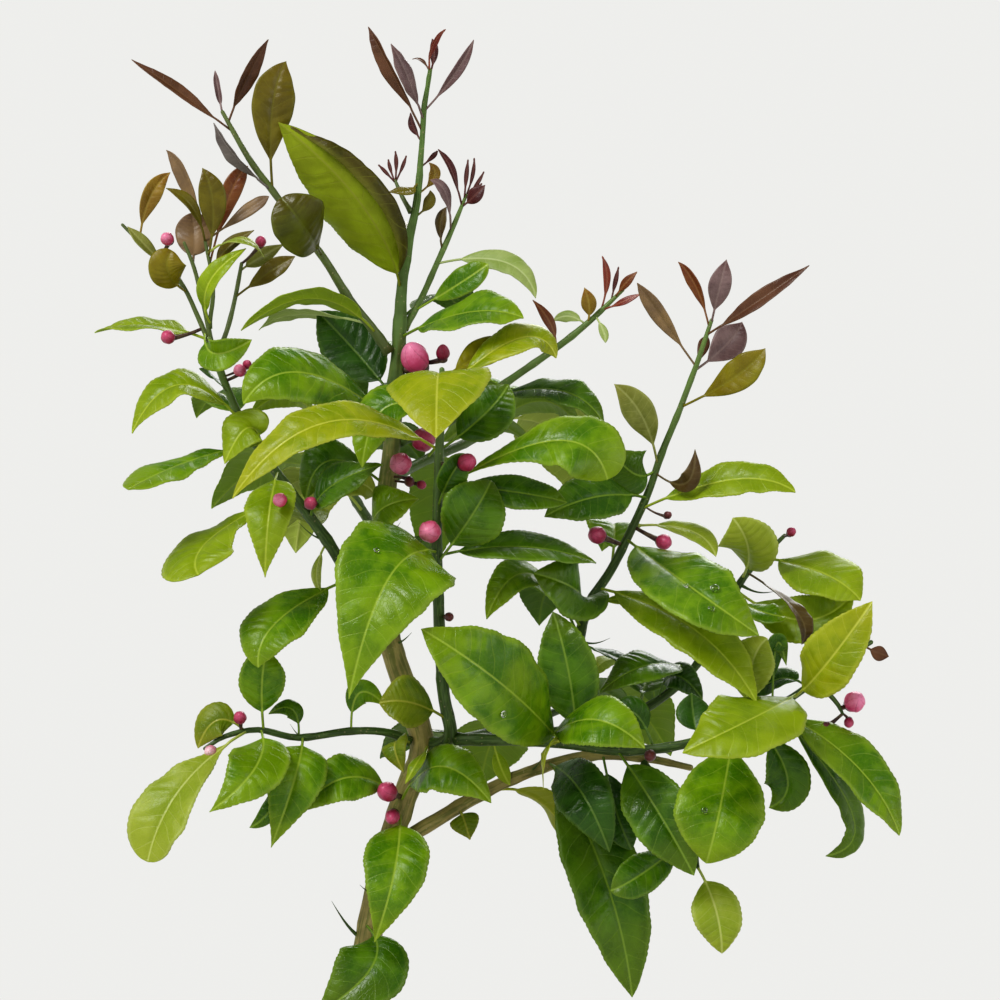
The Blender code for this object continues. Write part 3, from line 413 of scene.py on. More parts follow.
        ("dark", (16, 2, 552), (26, 40, 580), (26, 62, 566), 34, (0, 0.5, 1)),
        ("green", (19, 2, 590), (6, 34, 600), (-6, 54, 586), 32, (-0.2, 0.6, 1)),
        ("mid", (20, 2, 610), (40, 30, 624), (50, 50, 614), 30, (0.2, 0.6, 1)),
        ("olive", (22, 2, 640), (14, 26, 660), (8, 42, 654), 24, (-0.2, 0.7, 1)),
        ("pale_lime", (-16, -13, 500), (-34, 18, 516), (-50, 34, 498), 32, (-0.3, 0.5, 1)),
        ("green", (-57, -22, 557), (-70, 10, 574), (-84, 28, 562), 28, (-0.4, 0.4, 1)),
        ("mid", (110, 8, 450), (96, 40, 474), (90, 56, 456), 30, (0, 0.6, 1)),
        ("green", (126, 16, 485), (128, 48, 508), (122, 64, 494), 28, (0, 0.7, 1)),
        ("mid", (140, 22, 413), (146, 52, 430), (150, 70, 414), 30, (0.2, 0.6, 1)),
    )),
}

# Each bud: its middle (x, y, z), its diameter, the way it points and its colours.
BUDS = numbered("bud", (
    ((27.5, -9, 591), 14.0, (-0.4, -0.8, 1.0), "bright_rose"),
    ((41.5, -7, 593.5), 7.0, (0.05, -0.5, 1), "magenta"),
    ((32, -16, 550), 12.0, (0.2, -1, 0.1), "magenta"),
    ((20.5, -15, 538), 11.0, (-0.3, -1, -0.1), "rose"),
    ((54, -55, 538.5), 9.0, (0.5, -1, 0.3), "magenta"),
    ((35.5, -48, 504.5), 11.0, (-0.2, -1, 0.0), "rose"),
    ((45, -40, 462.5), 4.6, (0.4, -1, 0.0), "umber"),
    ((-37.5, -60, 520), 7.0, (-0.3, -1, 0.0), "rose"),
    ((-23.5, -30, 518.5), 6.6, (0.2, -1, 0.3), "magenta"),
    ((-58.5, -32, 584), 6.4, (-0.3, -1, 0.2), "rose"),
    ((-55, -28, 587), 4.6, (0.4, -1, 0.5), "magenta"),
    ((-94, -32, 600.5), 7.0, (-0.2, -1, 0.2), "magenta"),
    ((-95, -22, 649.5), 6.6, (-0.3, -1, 0.3), "rose"),
    ((-49, -14, 648.5), 5.6, (0.2, -1, 0.6), "magenta"),
    ((-58.5, -29, 412.5), 6.6, (0.0, -1, 0.4), "magenta"),
    ((-73, -32, 396), 6.0, (-0.4, -1, -0.1), "pale_rose"),
    ((14, -21, 375.5), 10.0, (-0.4, -1, 0.3), "magenta"),
    ((16.5, -15, 362.5), 7.5, (-0.2, -1, -0.4), "magenta"),
    ((144, -36, 394), 6.0, (0.1, -1, -0.2), "umber"),
    ((118.5, 2, 502.5), 9.0, (-0.5, -1, 0.2), "magenta"),
    ((152, 0, 499), 8.0, (0.4, -1, -0.1), "magenta"),
    ((154, 2, 512.5), 4.0, (0.5, -1, 0.4), "umber"),
    ((216.5, 14, 504), 4.8, (0.4, -1, 0.5), "magenta"),
    ((246, -20, 420), 10.5, (0.3, -1, 0.3), "bright_rose"),
    ((243, -20, 409.5), 5.0, (-0.1, -1, -0.6), "magenta"),
    ((231.5, -22, 407), 6.6, (-0.5, -1, -0.3), "umber"),
    ((25, -14, 529), 5.2, (0.2, -1, -0.5), "umber"),
    ((31, -12, 527.5), 4.6, (0.7, -1, -0.2), "magenta"),
))

# Each thorn: its root, its tip and its radius at the root.
THORNS = numbered("thorn", (
    ((3, 0, 299), (-14, -6, 320), 1.3),
    ((9, 0, 323), (0, -5, 328), 0.8),
    ((-16, -15, 500), (-30, -20, 509), 0.7),
    ((-64, -21, 573), (-69, -27, 580), 0.5),
    ((176, 28, 450), (188, 20, 447), 0.7),
    ((192, 31, 477), (209, 22, 474), 0.8),
    ((110, 6, 450), (125, 0, 451), 0.7),
    ((15, -2, 448), (26, -10, 454), 0.8),
    ((30, 0, 398), (42, 6, 392), 0.8),
    ((84, 17, 383), (92, 10, 392), 0.7),
    ((-28, -16, 402), (-34, -22, 409), 0.5),
    ((12, 2, 502), (20, 16, 509), 0.8),
))

# Each drop: its leaf, how far along the blade and across its half it sits, as shares, and its width.
DROPS = numbered("drop", (
    ("right_glossy", 0.62, -0.35, 4.6),
    ("right_glossy", 0.70, 0.30, 3.4),
    ("right_glossy", 0.50, 0.10, 2.6),
    ("middle_glossy", 0.45, -0.55, 3.6),
    ("front_largest", 0.40, 0.45, 3.0),
    ("right_hanging", 0.55, 0.35, 3.2),
))

# A leaf's stalk: its share of the blank's rows, and the most that it takes of a leaf's length
STALK_ROWS = 0.09
STALK_MOST = 0.16
# The blade: how far each half is lifted, and how much further each margin turns, in degrees
USUAL_FOLD = 14.0
USUAL_CURL = (-25.0, -25.0)
# A margin that turns further than this folds over, along a line this share of the way to it
FOLDS_OVER = 90.0
FOLD_LINE = 0.52
FOLD_WIDTH = 0.20
# Side veins lean and bend towards the tip, by these amounts for each millimetre from the midrib
VEIN_LEAN = 0.55
VEIN_BEND = 0.010
# In millimetres: the width of a full-grown leaf, the length of a tooth, the hollow along the midrib and
# the rib below it
FULL_WIDTH = 26.0
TOOTH_LENGTH = 3.3
MIDRIB_HOLLOW = 0.55
MIDRIB_RIB = 0.75
# How deep in the bark a stem's first ring, a leaf's foot and the start of its stalk lie, at most
STEM_SINK = 0.8
LEAF_SINK = 0.3
CLEAR_SINK = 0.2
# The trunk's swelling above the soil, and the collar of a branch: distance along, height, width
TRUNK_SWELLING = (58.0, 1.5, 12.0)
COLLAR_SHARE = 0.35
COLLAR_WIDTH = 3.0

# Outlines of a blade: how fast it widens from its base, and how fast it narrows to its tip
OUTLINES = {
    "oval": (0.75, 0.95),
    "spindle": (1.10, 1.15),
    "spoon": (1.30, 0.55),
    "drop": (0.55, 1.20),
    "round": (0.60, 0.55),
}
UNUSUAL_OUTLINES = {
    "spoon": ("left_drooping", "left_low_curved", "low_left_outer", "front_right_arch"),
    "round": ("high_left_round", "left_7", "left_12"),
    "drop": (
        "front_largest", "left_hanging", "low_right_7", "trunk_hanging", "low_left_curved",
        "low_left_hanging",
    ),
}

# The middle of a drop over its leaf, and how far a bud sits in its calyx, for its radius
DROP_LIFT = 0.9
CALYX_DEPTH = 0.18

# Leaf looks: upper side, its mottling, its tip, veins, underside, light let through, roughness.
# The greens dark, mid, green, lime and pale_lime are darker and paler copies of one leaf green, and the
# copy that a leaf gets is partly its own colour and partly painted shade and painted light.
LEAF_LOOKS = {
    "green": ("4F7E04", "7FA60C", "8FA80A", "B0C848", "86A438", 0.24, 0.27),
    "mid": ("376204", "5A840C", "667F0A", "8CAA3A", "668834", 0.18, 0.27),
    "dark": ("234A06", "37640C", "3F620A", "6F8E38", "4F7232", 0.12, 0.28),
    "lime": ("86A20C", "A0B818", "A2B41A", "CAD850", "9AB22C", 0.32, 0.30),
    "yellow": ("8EA208", "AEB818", "B2B41A", "D6DA5A", "A8B430", 0.28, 0.28),
    "olive_green": ("66800A", "869616", "929414", "B8B848", "84963A", 0.24, 0.32),
    "pale_lime": ("9CB02C", "B2C044", "B2BE3C", "DAE288", "AEBE5C", 0.34, 0.34),
    "pale": ("9AB058", "B2C276", "AEBE6C", "D2DDA0", "B4C47C", 0.36, 0.38),
    "pale_olive": ("7E8434", "989C4A", "8F8E3A", "BFC27C", "949A58", 0.26, 0.36),
    "olive": ("645A0A", "7A7010", "6A5610", "7E7A28", "7C743A", 0.20, 0.32),
    "gold_olive": ("7C7408", "969010", "887010", "8E8A20", "8E8834", 0.24, 0.34),
    "dark_olive": ("4C5004", "646A0C", "5A4E0A", "6E7624", "646A2C", 0.18, 0.34),
    # The rolled leaf's underside, ACC018, is its own yellow-green painted lighter still: painted light on
    # an underside that faces down into shade
    "rolled": ("4A4A0C", "5E5612", "56480E", "A2A63A", "ACC018", 0.34, 0.30),
    "amber": ("8A6C1E", "A08226", "9A6220", "BDA852", "968440", 0.22, 0.34),
    "bronze": ("5C3C24", "724C32", "50281C", "7A5A3E", "7A5E4C", 0.16, 0.32),
    "umber": ("4A3A14", "5C4A1C", "462A16", "82744A", "665836", 0.12, 0.32),
    "rust": ("743C1A", "865224", "6E2C1C", "A67A4A", "866240", 0.18, 0.32),
    "red": ("7E2C20", "924230", "701F20", "B07458", "8A4C3E", 0.18, 0.30),
    "maroon": ("471C1C", "5C2826", "40181A", "84584E", "624040", 0.14, 0.32),
    "mauve": ("6E5656", "8A7270", "64403E", "A48E88", "8A7672", 0.18, 0.34),
    "dusky": ("826A4C", "9C8058", "765A44", "8A7252", "937E62", 0.20, 0.36),
    "silver": ("6A625E", "7E7670", "5E524E", "A09892", "86807A", 0.22, 0.40),
}
YOUNG_LOOKS = {
    "olive", "amber", "bronze", "umber", "rust", "red", "maroon", "mauve", "dusky", "silver", "pale_olive",
    "gold_olive", "dark_olive",
}

# Bud colours: at the calyx, along the petals, at the tip
BUD_LOOKS = {
    "bright_rose": ("9A1C46", "D8487C", "EC8AB0"),
    "rose": ("80142F", "C83464", "E284A4"),
    "magenta": ("560E26", "981A42", "C44C72"),
    "pale_rose": ("A0405E", "D48098", "EFC6CE"),
    "umber": ("2E1414", "4A2020", "74383A"),
}


def length_setting(name, description, length):
    """A length that a user can change, in metres."""
    return bpy.props.FloatProperty(name=name, description=description, default=length, unit="LENGTH")


def colour_setting(name, description, hex_colour):
    """A colour that a user can change, as sRGB hex."""
    return bpy.props.StringProperty(name=name, description=description, default=hex_colour)


class PotSettings(bpy.types.PropertyGroup):
    """The pot and its soil."""

    wall: length_setting("Wall", "Thickness of the pot's wall", 9.0 * MM)
    band_height: length_setting("Band height", "Height of the raised band round the rim", 38.0 * MM)
    band_step: length_setting("Band step", "How far the band stands out from the wall", 5.0 * MM)
    clay: colour_setting("Clay", "Colour of the fired clay", "B4694A")
    soil: colour_setting("Soil", "Colour of the moist soil", "2E2119")


class WoodSettings(bpy.types.PropertyGroup):
    """The trunk, branches and thorns."""

    ring_spacing: length_setting("Ring spacing", "Distance between the rings of a stem's mesh", 4.0 * MM)
    bark: colour_setting("Bark", "Colour of the old bark", "9C8F50")
    stripe: colour_setting("Stripe", "Green under the bark", "6A6E26")
    stem: colour_setting("Stem", "Colour of green wood", "34500F")
    shoot: colour_setting("Shoot", "Colour of young shoots", "5F7A26")


class FoliageSettings(bpy.types.PropertyGroup):
    """The leaves."""

    thickness: length_setting("Thickness", "Thickness of a blade", 0.36 * MM)
    vein_spacing: length_setting(
        "Vein spacing", "Distance between side veins along the midrib of a full-grown leaf", 7.0 * MM)
    tooth: length_setting("Tooth", "Depth of the rounded teeth along the margin", 0.50 * MM)
    puckering: length_setting("Puckering", "How far the blade swells between its side veins", 0.42 * MM)
    stalk: length_setting("Stalk", "Length of a leaf's stalk", 9.0 * MM)


class BudSettings(bpy.types.PropertyGroup):
    """The flower buds."""

    length_ratio: bpy.props.FloatProperty(
        name="Length ratio",
        description="Length of a bud for its width",
        default=1.25,
    )
    calyx: colour_setting("Calyx", "Colour of calyx and stalk", "3A1E1E")


class StageSettings(bpy.types.PropertyGroup):
    """The floor, the lights and the camera."""

    distance: length_setting("Camera distance", "Distance from the camera to the trunk", 2.5)
    eye_height: length_setting("Eye height", "Height of the camera above the floor", 0.520)
    eye_side: length_setting("Eye side", "How far the camera stands right of the trunk's foot", 0.070)
    backdrop: colour_setting("Backdrop", "Colour of floor and air", "DDDDDB")


def linear(hex_colour):
    """An sRGB hex colour as linear RGBA."""
    channels = []
    for start in (0, 2, 4):
        value = int(hex_colour[start:start + 2], 16) / 255.0
        channels.append(value / 12.92 if value <= 0.04045 else ((value + 0.055) / 1.055) ** 2.4)
    return (*channels, 1.0)


def add_node(tree, kind, inputs=None, **settings):
    """A node with its settings, and its inputs set to values or linked from sockets."""
    node = tree.nodes.new(kind)
    for name, value in settings.items():
        setattr(node, name, value)
    for key, value in (inputs or {}).items():
        if isinstance(value, bpy.types.NodeSocket):
            tree.links.new(value, node.inputs[key])
        else:
            node.inputs[key].default_value = value
    return node


def mix_colours(tree, share, first, second):
    """The output of a colour mix, which goes from first to second as share goes from 0 to 1."""
    mix = add_node(tree, "ShaderNodeMix", {0: share, 6: first, 7: second}, data_type="RGBA")
    return mix.outputs[2]


def ramp_between(tree, value, low, high, low_result=0.0, high_result=1.0):
    """A smooth step from low_result to high_result as value goes from low to high."""
    inputs = {0: value, 1: low, 2: high, 3: low_result, 4: high_result}
    return add_node(tree, "ShaderNodeMapRange", inputs, interpolation_type="SMOOTHSTEP").outputs[0]


def layer(tree, colour, hex_colour, value, *step):
    """A colour with another laid over it, by a smooth step of a value."""
    return mix_colours(tree, ramp_between(tree, value, *step), colour, linear(hex_colour))


def calculate(tree, operation, *values):
    """The result of a Math node on up to three values."""
    return add_node(tree, "ShaderNodeMath", dict(enumerate(values)), operation=operation).outputs[0]


def noise_of(tree, place, feature_mm, detail=3.0):
    """Noise whose features are about as wide as given, for places in metres."""
    inputs = {"Vector": place, "Scale": 1.0 / (feature_mm * MM), "Detail": detail, "Roughness": 0.55}
    return add_node(tree, "ShaderNodeTexNoise", inputs).outputs[0]


def start_material(name):
    """A material with its node tree, its shader and the object's own coordinates."""
    material = bpy.data.materials.new(name)
    material.use_nodes = True
    tree = material.node_tree
    shader = tree.nodes["Principled BSDF"]
    place = tree.nodes.new("ShaderNodeTexCoord").outputs["Object"]
    return material, tree, shader, place


def add_bump(tree, shader, height, strength, depth_mm):
    """Fine relief on a shader."""
    inputs = {"Strength": strength, "Distance": depth_mm * MM, "Height": height}
    bump = add_node(tree, "ShaderNodeBump", inputs)
    tree.links.new(bump.outputs[0], shader.inputs["Normal"])


# The lines that a turned pot keeps lie this far apart
TURNING_LINES = 5.655 * MM


def terracotta(settings):
    """Unglazed fired clay, thrown and dried: dry and matt, with faint turning lines and pale salts."""
    material, tree, shader, place = start_material("unglazed_terracotta")
    cloud = noise_of(tree, place, 45.0, 5.0)
    blotch = noise_of(tree, place, 16.0, 6.0)
    height = add_node(tree, "ShaderNodeSeparateXYZ", {0: place}).outputs[2]
    fired = layer(tree, linear(settings.clay), "D9B59C", cloud, 0.35, 0.75, 0.0, 0.45)
    low = ramp_between(tree, height, 0.0, 0.070, 0.75, 0.0)
    rim = ramp_between(tree, height, POT_BOX[1].z - 0.012, POT_BOX[1].z, 0.0, 0.5)
    bloom = calculate(tree, "MULTIPLY", calculate(tree, "ADD", low, rim),
                      ramp_between(tree, blotch, 0.48, 0.68))
    colour = mix_colours(tree, bloom, fired, linear("DCCFC2"))
    # A wave's bands are tau / 20 of its scale apart; the clay's grit is 0.9 mm across
    turning = add_node(tree, "ShaderNodeTexWave", {
        "Vector": place, "Scale": math.tau / (20.0 * TURNING_LINES), "Distortion": 0.6, "Detail": 2.0,
    }, wave_type="BANDS", bands_direction="Z").outputs[1]
    grit = noise_of(tree, place, 0.9, 2.0)
    relief = calculate(tree, "MULTIPLY_ADD", turning, 0.35, grit)
    add_bump(tree, shader, relief, 0.35, 0.25)
    tree.links.new(colour, shader.inputs["Base Color"])
    tree.links.new(ramp_between(tree, blotch, 0.3, 0.7, 0.78, 0.92), shader.inputs["Roughness"])
    shader.inputs["Specular IOR Level"].default_value = 0.3
    return material


def potting_mix(settings):
    """Moist peat and bark: dark and rough, with lighter fibres and damp patches."""
    material, tree, shader, place = start_material("potting_mix")
    crumbs = noise_of(tree, place, 3.0, 6.0)
    patches = noise_of(tree, place, 28.0, 2.0)
    fibres = layer(tree, linear(settings.soil), "5A4330", crumbs, 0.45, 0.7)
    colour = layer(tree, fibres, "1D1510", patches, 0.45, 0.62, 0.0, 0.7)
    tree.links.new(colour, shader.inputs["Base Color"])
    tree.links.new(ramp_between(tree, patches, 0.4, 0.65, 0.95, 0.7), shader.inputs["Roughness"])
    add_bump(tree, shader, crumbs, 0.8, 1.2)
    return material


def bark_chip(name, hex_colour, hex_light):
    """Broken bark or perlite in the soil: matt, with a lighter torn side."""
    material, tree, shader, place = start_material(name)
    grain = noise_of(tree, place, 1.6, 4.0)
    torn = ramp_between(tree, grain, 0.4, 0.65)
    colour = mix_colours(tree, torn, linear(hex_colour), linear(hex_light))
    tree.links.new(colour, shader.inputs["Base Color"])
    shader.inputs["Roughness"].default_value = 0.85
    add_bump(tree, shader, grain, 0.6, 0.5)
    return material


def stem_material(name, hex_base, hex_streak, hex_high, streak_mm, streak_share, roughness):
    """Living bark: streaks along the stem, small pale pores and a change of colour with height."""
    material, tree, shader, place = start_material(name)
    grain = add_node(tree, "ShaderNodeAttribute", attribute_name="grain").outputs["Vector"]
    # Streaks are about twelve times longer than they are wide
    long_grain = add_node(tree, "ShaderNodeMapping", {"Vector": grain, "Scale": (1.0, 1.0, 1.0 / 12.0)})
    streaks = noise_of(tree, long_grain.outputs[0], streak_mm, 4.0)
    patches = noise_of(tree, grain, 9.0, 3.0)
    pores = add_node(tree, "ShaderNodeTexVoronoi", {
        "Vector": grain, "Scale": 1.0 / (2.6 * MM), "Randomness": 1.0,
    }).outputs["Distance"]
    height = add_node(tree, "ShaderNodeSeparateXYZ", {0: place}).outputs[2]
    base = layer(tree, linear(hex_base), hex_streak, streaks, 0.44, 0.60, 0.0, streak_share)
    upper = ramp_between(tree, calculate(tree, "MULTIPLY_ADD", patches, 0.10, height), 0.53, 0.66)
    colour = mix_colours(tree, upper, base, linear(hex_high))
    pore = ramp_between(tree, pores, 0.10, 0.20, 0.55, 0.0)
    colour = mix_colours(tree, pore, colour, linear("A99B72"))
    shade = ramp_between(tree, patches, 0.35, 0.7, 0.0, 0.35)
    colour = mix_colours(tree, shade, colour, linear("2A2A16"))
    tree.links.new(colour, shader.inputs["Base Color"])
    tree.links.new(ramp_between(tree, patches, 0.3, 0.7, roughness, roughness + 0.15),
                   shader.inputs["Roughness"])
    add_bump(tree, shader, calculate(tree, "MULTIPLY_ADD", pore, 0.6, streaks), 0.45, 0.35)
    return material


def citrus_leaf(look):
    """A waxy citrus leaf: satin above with a fine light midrib and faint side veins, its green patchy and
    lighter at the margin; dull and paler below, and glowing a little where light comes through."""
    upper, mottle, tip, vein, under, through, roughness = LEAF_LOOKS[look]
    material, tree, shader, place = start_material("citrus_leaf_" + look)
    blade = add_node(tree, "ShaderNodeAttribute", attribute_name="blade").outputs["Vector"]
    across, phase, side = add_node(tree, "ShaderNodeSeparateXYZ", {0: blade}).outputs
    reach = add_node(tree, "ShaderNodeAttribute", attribute_name="reach").outputs["Vector"]
    toward_tip, toward_edge, _ = add_node(tree, "ShaderNodeSeparateXYZ", {0: reach}).outputs
    midrib = ramp_between(tree, calculate(tree, "ABSOLUTE", across), 0.22, 0.75, 1.0, 0.0)
    lateral = ramp_between(tree, calculate(tree, "PINGPONG", phase, 0.5), 0.01, 0.055, 1.0, 0.0)
    patches = noise_of(tree, place, 15.0, 4.0)
    clouds = noise_of(tree, place, 42.0, 2.0)
    specks = noise_of(tree, place, 1.7, 3.0)
    # The smallest veins close cells about 2.4 mm wide
    net = add_node(tree, "ShaderNodeTexVoronoi", {
        "Vector": place, "Scale": 1.0 / (2.4 * MM),
    }, feature="DISTANCE_TO_EDGE").outputs["Distance"]
    mesh_veins = ramp_between(tree, net, 0.0, 0.09, 1.0, 0.0)
    colour = layer(tree, linear(upper), mottle, patches, 0.40, 0.66)
    colour = layer(tree, colour, tip, clouds, 0.45, 0.65, 0.0, 0.40)
    colour = layer(tree, colour, tip, toward_tip, 0.60, 1.0, 0.0, 0.7)
    colour = layer(tree, colour, vein, toward_edge, 0.80, 1.0, 0.0, 0.45)
    colour = layer(tree, colour, mottle, specks, 0.52, 0.75, 0.0, 0.30)
    strength = 0.55 if look in YOUNG_LOOKS else 1.0
    faint = calculate(tree, "MULTIPLY_ADD", lateral, 0.24, calculate(tree, "MULTIPLY", mesh_veins, 0.07))
    colour = mix_colours(tree, faint, colour, linear(vein))
    top = mix_colours(tree, calculate(tree, "MULTIPLY", midrib, 0.75 * strength), colour, linear(vein))
    below = layer(tree, linear(under), mottle, patches, 0.3, 0.7, 0.0, 0.35)
    ribs = calculate(tree, "MAXIMUM", midrib, calculate(tree, "MULTIPLY", lateral, 0.5))
    below = mix_colours(tree, calculate(tree, "MULTIPLY", ribs, 0.6), below, linear(vein))
    colour = mix_colours(tree, side, top, below)
    tree.links.new(colour, shader.inputs["Base Color"])
    gloss = ramp_between(tree, patches, 0.3, 0.7, roughness - 0.05, roughness + 0.08)
    tree.links.new(calculate(tree, "MULTIPLY_ADD", side, 0.22, gloss), shader.inputs["Roughness"])
    shader.inputs["Specular IOR Level"].default_value = 0.38
    relief = calculate(tree, "MULTIPLY_ADD", specks, 0.5, calculate(tree, "MULTIPLY", mesh_veins, -0.5))
    relief = calculate(tree, "MULTIPLY_ADD", lateral, -1.0, relief)
    add_bump(tree, shader, relief, 0.22 if look in YOUNG_LOOKS else 0.45, 0.20)
    glow = add_node(tree, "ShaderNodeBsdfTranslucent", {"Color": colour})
    mixed = add_node(tree, "ShaderNodeMixShader", {0: through, 1: shader.outputs[0], 2: glow.outputs[0]})
    tree.links.new(mixed.outputs[0], tree.nodes["Material Output"].inputs["Surface"])
    return material


def flower_bud(look):
    """A waxy closed bud: deep pink by the calyx and pale at its tip, with painted shade in the creases
    where the petals overlap.
    """
    deep, middle, pale = BUD_LOOKS[look]
    material, tree, shader, place = start_material("flower_bud_" + look)
    petal = add_node(tree, "ShaderNodeAttribute", attribute_name="petal").outputs["Vector"]
    height, overlap, _ = add_node(tree, "ShaderNodeSeparateXYZ", {0: petal}).outputs
    streaks = noise_of(tree, place, 1.8, 3.0)
    colour = layer(tree, linear(deep), middle, height, 0.10, 0.50)
    lighter = calculate(tree, "MULTIPLY_ADD", streaks, 0.5, height)
    colour = layer(tree, colour, pale, lighter, 0.75, 1.25)
    # Painted shade: the deep calyx pink laid into the crease where each petal's edge overlaps the next
    colour = layer(tree, colour, deep, overlap, 0.0, 0.16, 0.6, 0.0)
    tree.links.new(colour, shader.inputs["Base Color"])
    shader.inputs["Roughness"].default_value = 0.38
    shader.inputs["Subsurface Weight"].default_value = 0.15
    shader.inputs["Subsurface Radius"].default_value = (0.002, 0.0008, 0.0008)
    add_bump(tree, shader, streaks, 0.2, 0.2)
    return material


def bud_green(settings):
    """The calyx and stalk of a bud: thin skin flushed dark red over green."""
    material, tree, shader, place = start_material("bud_calyx")
    flush = ramp_between(tree, noise_of(tree, place, 3.0, 3.0), 0.40, 0.65)
    colour = mix_colours(tree, flush, linear(settings.calyx), linear("5E4A34"))
    tree.links.new(colour, shader.inputs["Base Color"])
    shader.inputs["Roughness"].default_value = 0.45
    return material


def water():
    """Clear water: see-through, with a sharp highlight."""
    material, _, shader, _ = start_material("water")
    shader.inputs["Base Color"].default_value = linear("FFFFFF")
    shader.inputs["Roughness"].default_value = 0.02
    shader.inputs["IOR"].default_value = 1.33
    shader.inputs["Transmission Weight"].default_value = 1.0
    return material


def deselect_all():
    """Nothing selected, so that an operator acts only on what comes next."""
    bpy.ops.object.select_all(action="DESELECT")


def only(piece):
    """Make one piece the selected, active one."""
    deselect_all()
    piece.select_set(True)
    bpy.context.view_layer.objects.active = piece


def new_primitive(adder, name, **settings):
    """Add a primitive with nothing else selected, and name it."""
    deselect_all()
    adder(**settings)
    piece = bpy.context.active_object
    piece.name = name
    piece.data.name = name
    return piece


def copy_of(blank, name):
    """A copy of a blank with its own mesh."""
    piece = bpy.data.objects.new(name, blank.data.copy())
    piece.data.name = name
    bpy.context.scene.collection.objects.link(piece)
    return piece


def apply_modifiers(piece):
    """Apply the modifiers of a piece in order."""
    only(piece)
    for modifier in list(piece.modifiers):
        bpy.ops.object.modifier_apply(modifier=modifier.name)


def get_places(mesh):
    """The vertices of a mesh as an array."""
    places = np.empty(len(mesh.vertices) * 3)
    mesh.vertices.foreach_get("co", places)
    return places.reshape(-1, 3)


def set_places(mesh, places):
    """Move the vertices of a mesh to an array of places."""
    mesh.vertices.foreach_set("co", np.ascontiguousarray(places, dtype=np.float32).ravel())
    mesh.update()


def set_attribute(mesh, name, vectors):
    """Store a vector for each vertex."""
    attribute = mesh.attributes.new(name, "FLOAT_VECTOR", "POINT")
    attribute.data.foreach_set("vector", np.ascontiguousarray(vectors, dtype=np.float32).ravel())


def finish_piece(piece, material, node="", smooth=True):
    """Give a piece its material and shading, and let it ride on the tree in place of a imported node."""
    piece.data.materials.clear()
    piece.data.materials.append(material)
    if smooth:
        piece.data.shade_smooth()
    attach(piece, "root")
    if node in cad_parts:
        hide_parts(node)


def unit(vectors):
    """Vectors of length one."""
    return vectors / np.maximum(np.linalg.norm(vectors, axis=-1, keepdims=True), 1e-9)


def catmull_rom(before, start, end, after, t):
    """A point on the smooth curve from start to end."""
    return 0.5 * (
        2.0 * start
        + (end - before) * t
        + (2.0 * before - 5.0 * start + 4.0 * end - after) * t * t
        + (3.0 * start - before - 3.0 * end + after) * t ** 3
    )


def smooth_route(points, spacing):
    """Rows (x, y, z, radius) along a smooth curve through a stem's own points, in millimetres."""
    rows = [np.array(row, float) for row in points]
    rows = [2.0 * rows[0] - rows[1]] + rows + [2.0 * rows[-1] - rows[-2]]
    route = []
    for index in range(1, len(rows) - 2):
        before, start, end, after = rows[index - 1:index + 3]
        steps = max(1, round(float(np.linalg.norm((end - start)[:3])) / spacing))
        for step in range(steps):
            route.append(catmull_rom(before, start, end, after, step / steps))
    route.append(rows[-2])
    return np.array(route)


class Bark:
    """All stems' surfaces, for finding where leaves, buds and thorns leave them."""

    def __init__(self, routes):
        self.starts = np.concatenate([route[:-1] for route in routes])
        self.ends = np.concatenate([route[1:] for route in routes])

    def nearest(self, point):
        """The distance from a point to the bark, and the nearest place on a stem's middle."""
        span = (self.ends - self.starts)[:, :3]
        offset = point - self.starts[:, :3]
        along = np.clip((offset * span).sum(1) / (span * span).sum(1), 0.0, 1.0)
        radius = self.starts[:, 3] + (self.ends[:, 3] - self.starts[:, 3]) * along
        middle = self.starts[:, :3] + span * along[:, None]
        gaps = np.linalg.norm(point - middle, axis=1) - radius
        index = int(gaps.argmin())
        return float(gaps[index]), middle[index]


def ring_frames(route):
    """For each row of a route, two directions across it that turn as little as they can."""
    centres = route[:, :3]
    directions = unit(np.gradient(centres, axis=0))
    side = np.cross(directions[0], (0.0, 1.0, 0.1))
    if np.linalg.norm(side) < 0.1:
        side = np.cross(directions[0], (1.0, 0.0, 0.1))
    sides = []
    for direction in directions:
        side = side - direction * side.dot(direction)
        side = side / np.linalg.norm(side)
        sides.append(side)
    sides = np.array(sides)
    return sides, np.cross(directions, sides)


